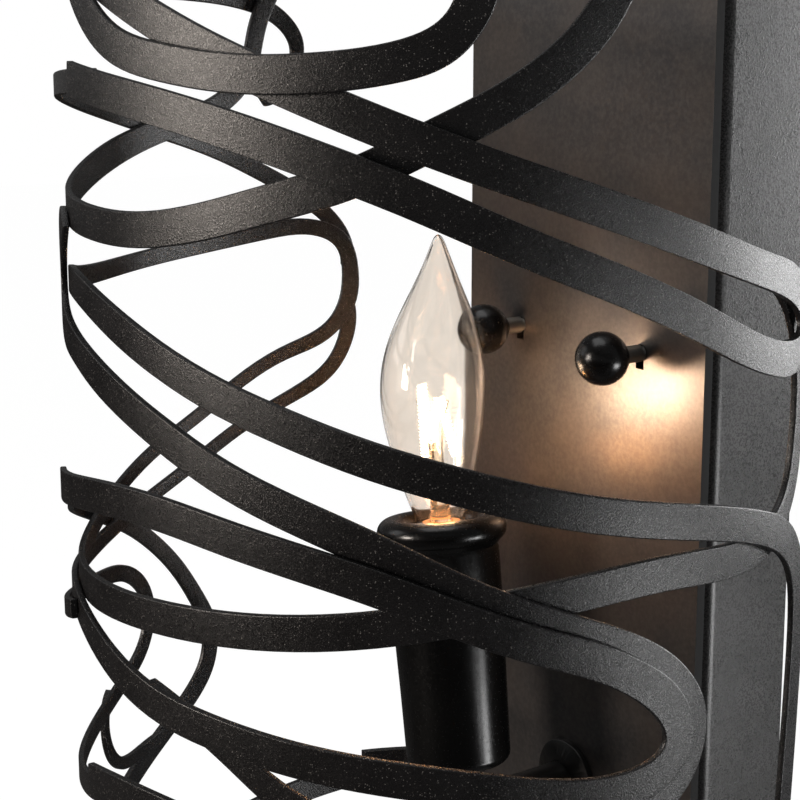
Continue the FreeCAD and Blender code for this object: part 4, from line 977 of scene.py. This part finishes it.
class CANDLELIGHT_OT_stage(bpy.types.Operator):
    """Lay the floor and set the lamps, the white world and the camera"""

    bl_idname = "candlelight.stage"
    bl_label = "Set stage"

    def execute(self, context):
        self.lay_floor()
        self.light_world(context.scene)
        self.set_lamps()
        self.set_camera(context.scene)
        context.scene.view_settings.view_transform = "Standard"
        return {"FINISHED"}

    def lay_floor(self):
        """White paper that the lens sees nearly white, and that lights the object only a little."""
        floor_size = 14
        floor_height = -0.62
        white_share = 0.93
        white_level = 1.06
        deselect()
        bpy.ops.mesh.primitive_plane_add(size=floor_size, location=(0, 0, floor_height))
        floor = bpy.context.object
        floor.name = "floor"
        material, tree = new_material("floor_white_paper")
        seen = self.seen_by_lens(tree)
        tone = add(
            tree,
            "Mix",
            {SHARE: seen, UNDER: linear("#5a5a5a"), OVER: linear("#f4f4f4")},
            data_type="RGBA",
        )
        share = add(tree, "Math", {0: seen, 1: white_share}, operation="MULTIPLY")
        paper = add(tree, "BsdfDiffuse", {"Color": tone.outputs[BLENDED]})
        white = add(tree, "Emission", {"Color": linear("#ffffff"), "Strength": white_level})
        shader = add(
            tree,
            "MixShader",
            {0: share.outputs[0], 1: paper.outputs[0], 2: white.outputs[0]},
        )
        add(tree, "OutputMaterial", {"Surface": shader.outputs[0]})
        floor.data.materials.append(material)

    def light_world(self, scene):
        """White to the lens and through glass, and a dim fill, a little stronger behind, else."""
        fill_low = 0.12
        fill_high = 0.14
        away_from_lens = (-0.829, 0.559, 0.0)
        world = bpy.data.worlds.new("studio_white")
        scene.world = world
        world.use_nodes = True
        tree = world.node_tree
        tree.nodes.clear()
        way = add(tree, "TexCoord").outputs["Generated"]
        away = add(tree, "VectorMath", {0: way, 1: away_from_lens}, operation="DOT_PRODUCT")
        behind = add(
            tree,
            "MapRange",
            {"Value": away.outputs["Value"], "From Min": -0.1, "From Max": 0.75},
        )
        rise = add(tree, "SeparateXYZ", {"Vector": way})
        above = add(
            tree,
            "MapRange",
            {"Value": rise.outputs["Z"], "From Min": -0.25, "From Max": 0.12},
        )
        card = add(tree, "Math", {0: behind.outputs[0], 1: above.outputs[0]}, operation="MULTIPLY")
        level = add(
            tree,
            "MapRange",
            {"Value": card.outputs[0], "To Min": fill_low, "To Max": fill_high},
        )
        fill = add(
            tree, "Background", {"Color": linear("#ffffff"), "Strength": level.outputs[0]}
        )
        white = add(tree, "Background", {"Color": linear("#ffffff"), "Strength": 1.0})
        shader = add(
            tree,
            "MixShader",
            {0: self.seen_by_lens(tree), 1: fill.outputs[0], 2: white.outputs[0]},
        )
        add(tree, "OutputWorld", {"Surface": shader.outputs[0]})

    def seen_by_lens(self, tree):
        """One for rays that reach the lens straight or through glass, else zero."""
        path = add(tree, "LightPath")
        seen = add(
            tree,
            "Math",
            {0: path.outputs["Is Camera Ray"], 1: path.outputs["Is Transmission Ray"]},
            operation="MAXIMUM",
        )
        return seen.outputs[0]

    def hang_lamp(self, name, kind, place, aim, watts, colour):
        lamp = bpy.data.lights.new(name, kind)
        lamp.energy = watts
        lamp.color = linear(colour)[:3]
        holder = bpy.data.objects.new(name, lamp)
        holder.location = place
        holder.rotation_euler = Vector(aim).to_track_quat("-Z", "Y").to_euler()
        bpy.context.scene.collection.objects.link(holder)
        return lamp

    def set_lamps(self):
        """Softboxes for the sheens on the coats, and two small lamps for the lit bulb."""
        middle = Vector((0, -0.09, -0.02))
        softboxes = [
            ("left_softbox", (-0.25, -1.36, 0.17), 0.36, 12.0, "#fff3e8"),
            ("plate_softbox", (-0.98, -1.0, 0.5), 0.6, 1.3, "#ffffff"),
            ("right_softbox", (1.1, 0.45, -0.55), 0.5, 9.0, "#ffffff"),
            ("rim_softbox", (0.42, 1.05, 0.05), 0.6, 14.5, "#ffffff"),
            ("top_softbox", (-0.1, -0.2, 1.1), 0.8, 3.2, "#ffffff"),
        ]
        for name, place, size, watts, colour in softboxes:
            lamp = self.hang_lamp(name, "AREA", place, middle - Vector(place), watts, colour)
            lamp.shape = "SQUARE"
            lamp.size = size
        toward_lens = Vector((0.0098, -0.0066, 0))
        filament_middle = lean_point((0, 0, 36)) + toward_lens
        toward_plate = (0.35, 1, -0.15)
        glow = self.hang_lamp(
            "bulb_glow", "SPOT", filament_middle, toward_plate, 0.34, "#ffe0c2"
        )
        glow.spot_size = math.radians(120)
        glow.spot_blend = 1.0
        glow.shadow_soft_size = 0.0075
        filament_foot = lean_point((0, 0, 14))
        spill = self.hang_lamp("bulb_spill", "POINT", filament_foot, (0, 0, -1), 0.06, "#ffb878")
        spill.shadow_soft_size = 0.006

    def set_camera(self, scene):
        look_down = 10.095
        bearing = 56.233
        lens = bpy.data.cameras.new("camera")
        lens.sensor_width = 36
        lens.lens = 72.57
        lens.shift_y = -0.1
        lens.clip_end = 30
        camera = bpy.data.objects.new("camera", lens)
        camera.location = (0.3776, -0.3556, 0.0931)
        tilt = math.radians(90 - look_down)
        camera.rotation_euler = Euler((tilt, 0, math.radians(bearing)))
        scene.collection.objects.link(camera)
        scene.camera = camera


STEPS = (
    CANDLELIGHT_OT_finishes,
    CANDLELIGHT_OT_ribbons,
    CANDLELIGHT_OT_sheet_metal,
    CANDLELIGHT_OT_studs,
    CANDLELIGHT_OT_candle,
    CANDLELIGHT_OT_bulb,
    CANDLELIGHT_OT_stage,
)


class CANDLELIGHT_PT_panel(bpy.types.Panel):
    """Sizes, colours and steps of the candle wall light"""

    bl_label = "Candle wall light"
    bl_idname = "CANDLELIGHT_PT_panel"
    bl_space_type = "VIEW_3D"
    bl_region_type = "UI"
    bl_category = "Candle light"

    def draw(self, context):
        layout = self.layout
        for group in (sizes(), colours()):
            box = layout.box()
            for name in group.__annotations__:
                box.prop(group, name)
        for step in STEPS:
            layout.operator(step.bl_idname)


CLASSES = (CandleLightSizes, CandleLightColours, *STEPS, CANDLELIGHT_PT_panel)


def register():
    for kind in CLASSES:
        bpy.utils.register_class(kind)
    scene_type = bpy.types.Scene
    scene_type.candle_light_sizes = bpy.props.PointerProperty(type=CandleLightSizes)
    scene_type.candle_light_colours = bpy.props.PointerProperty(type=CandleLightColours)


def unregister():
    del bpy.types.Scene.candle_light_colours
    del bpy.types.Scene.candle_light_sizes
    for kind in reversed(CLASSES):
        bpy.utils.unregister_class(kind)


def main():
    register()
    for step in STEPS:
        group, name = step.bl_idname.split(".")
        getattr(getattr(bpy.ops, group), name)()
    deselect()


if __name__ == "__main__":
    main()
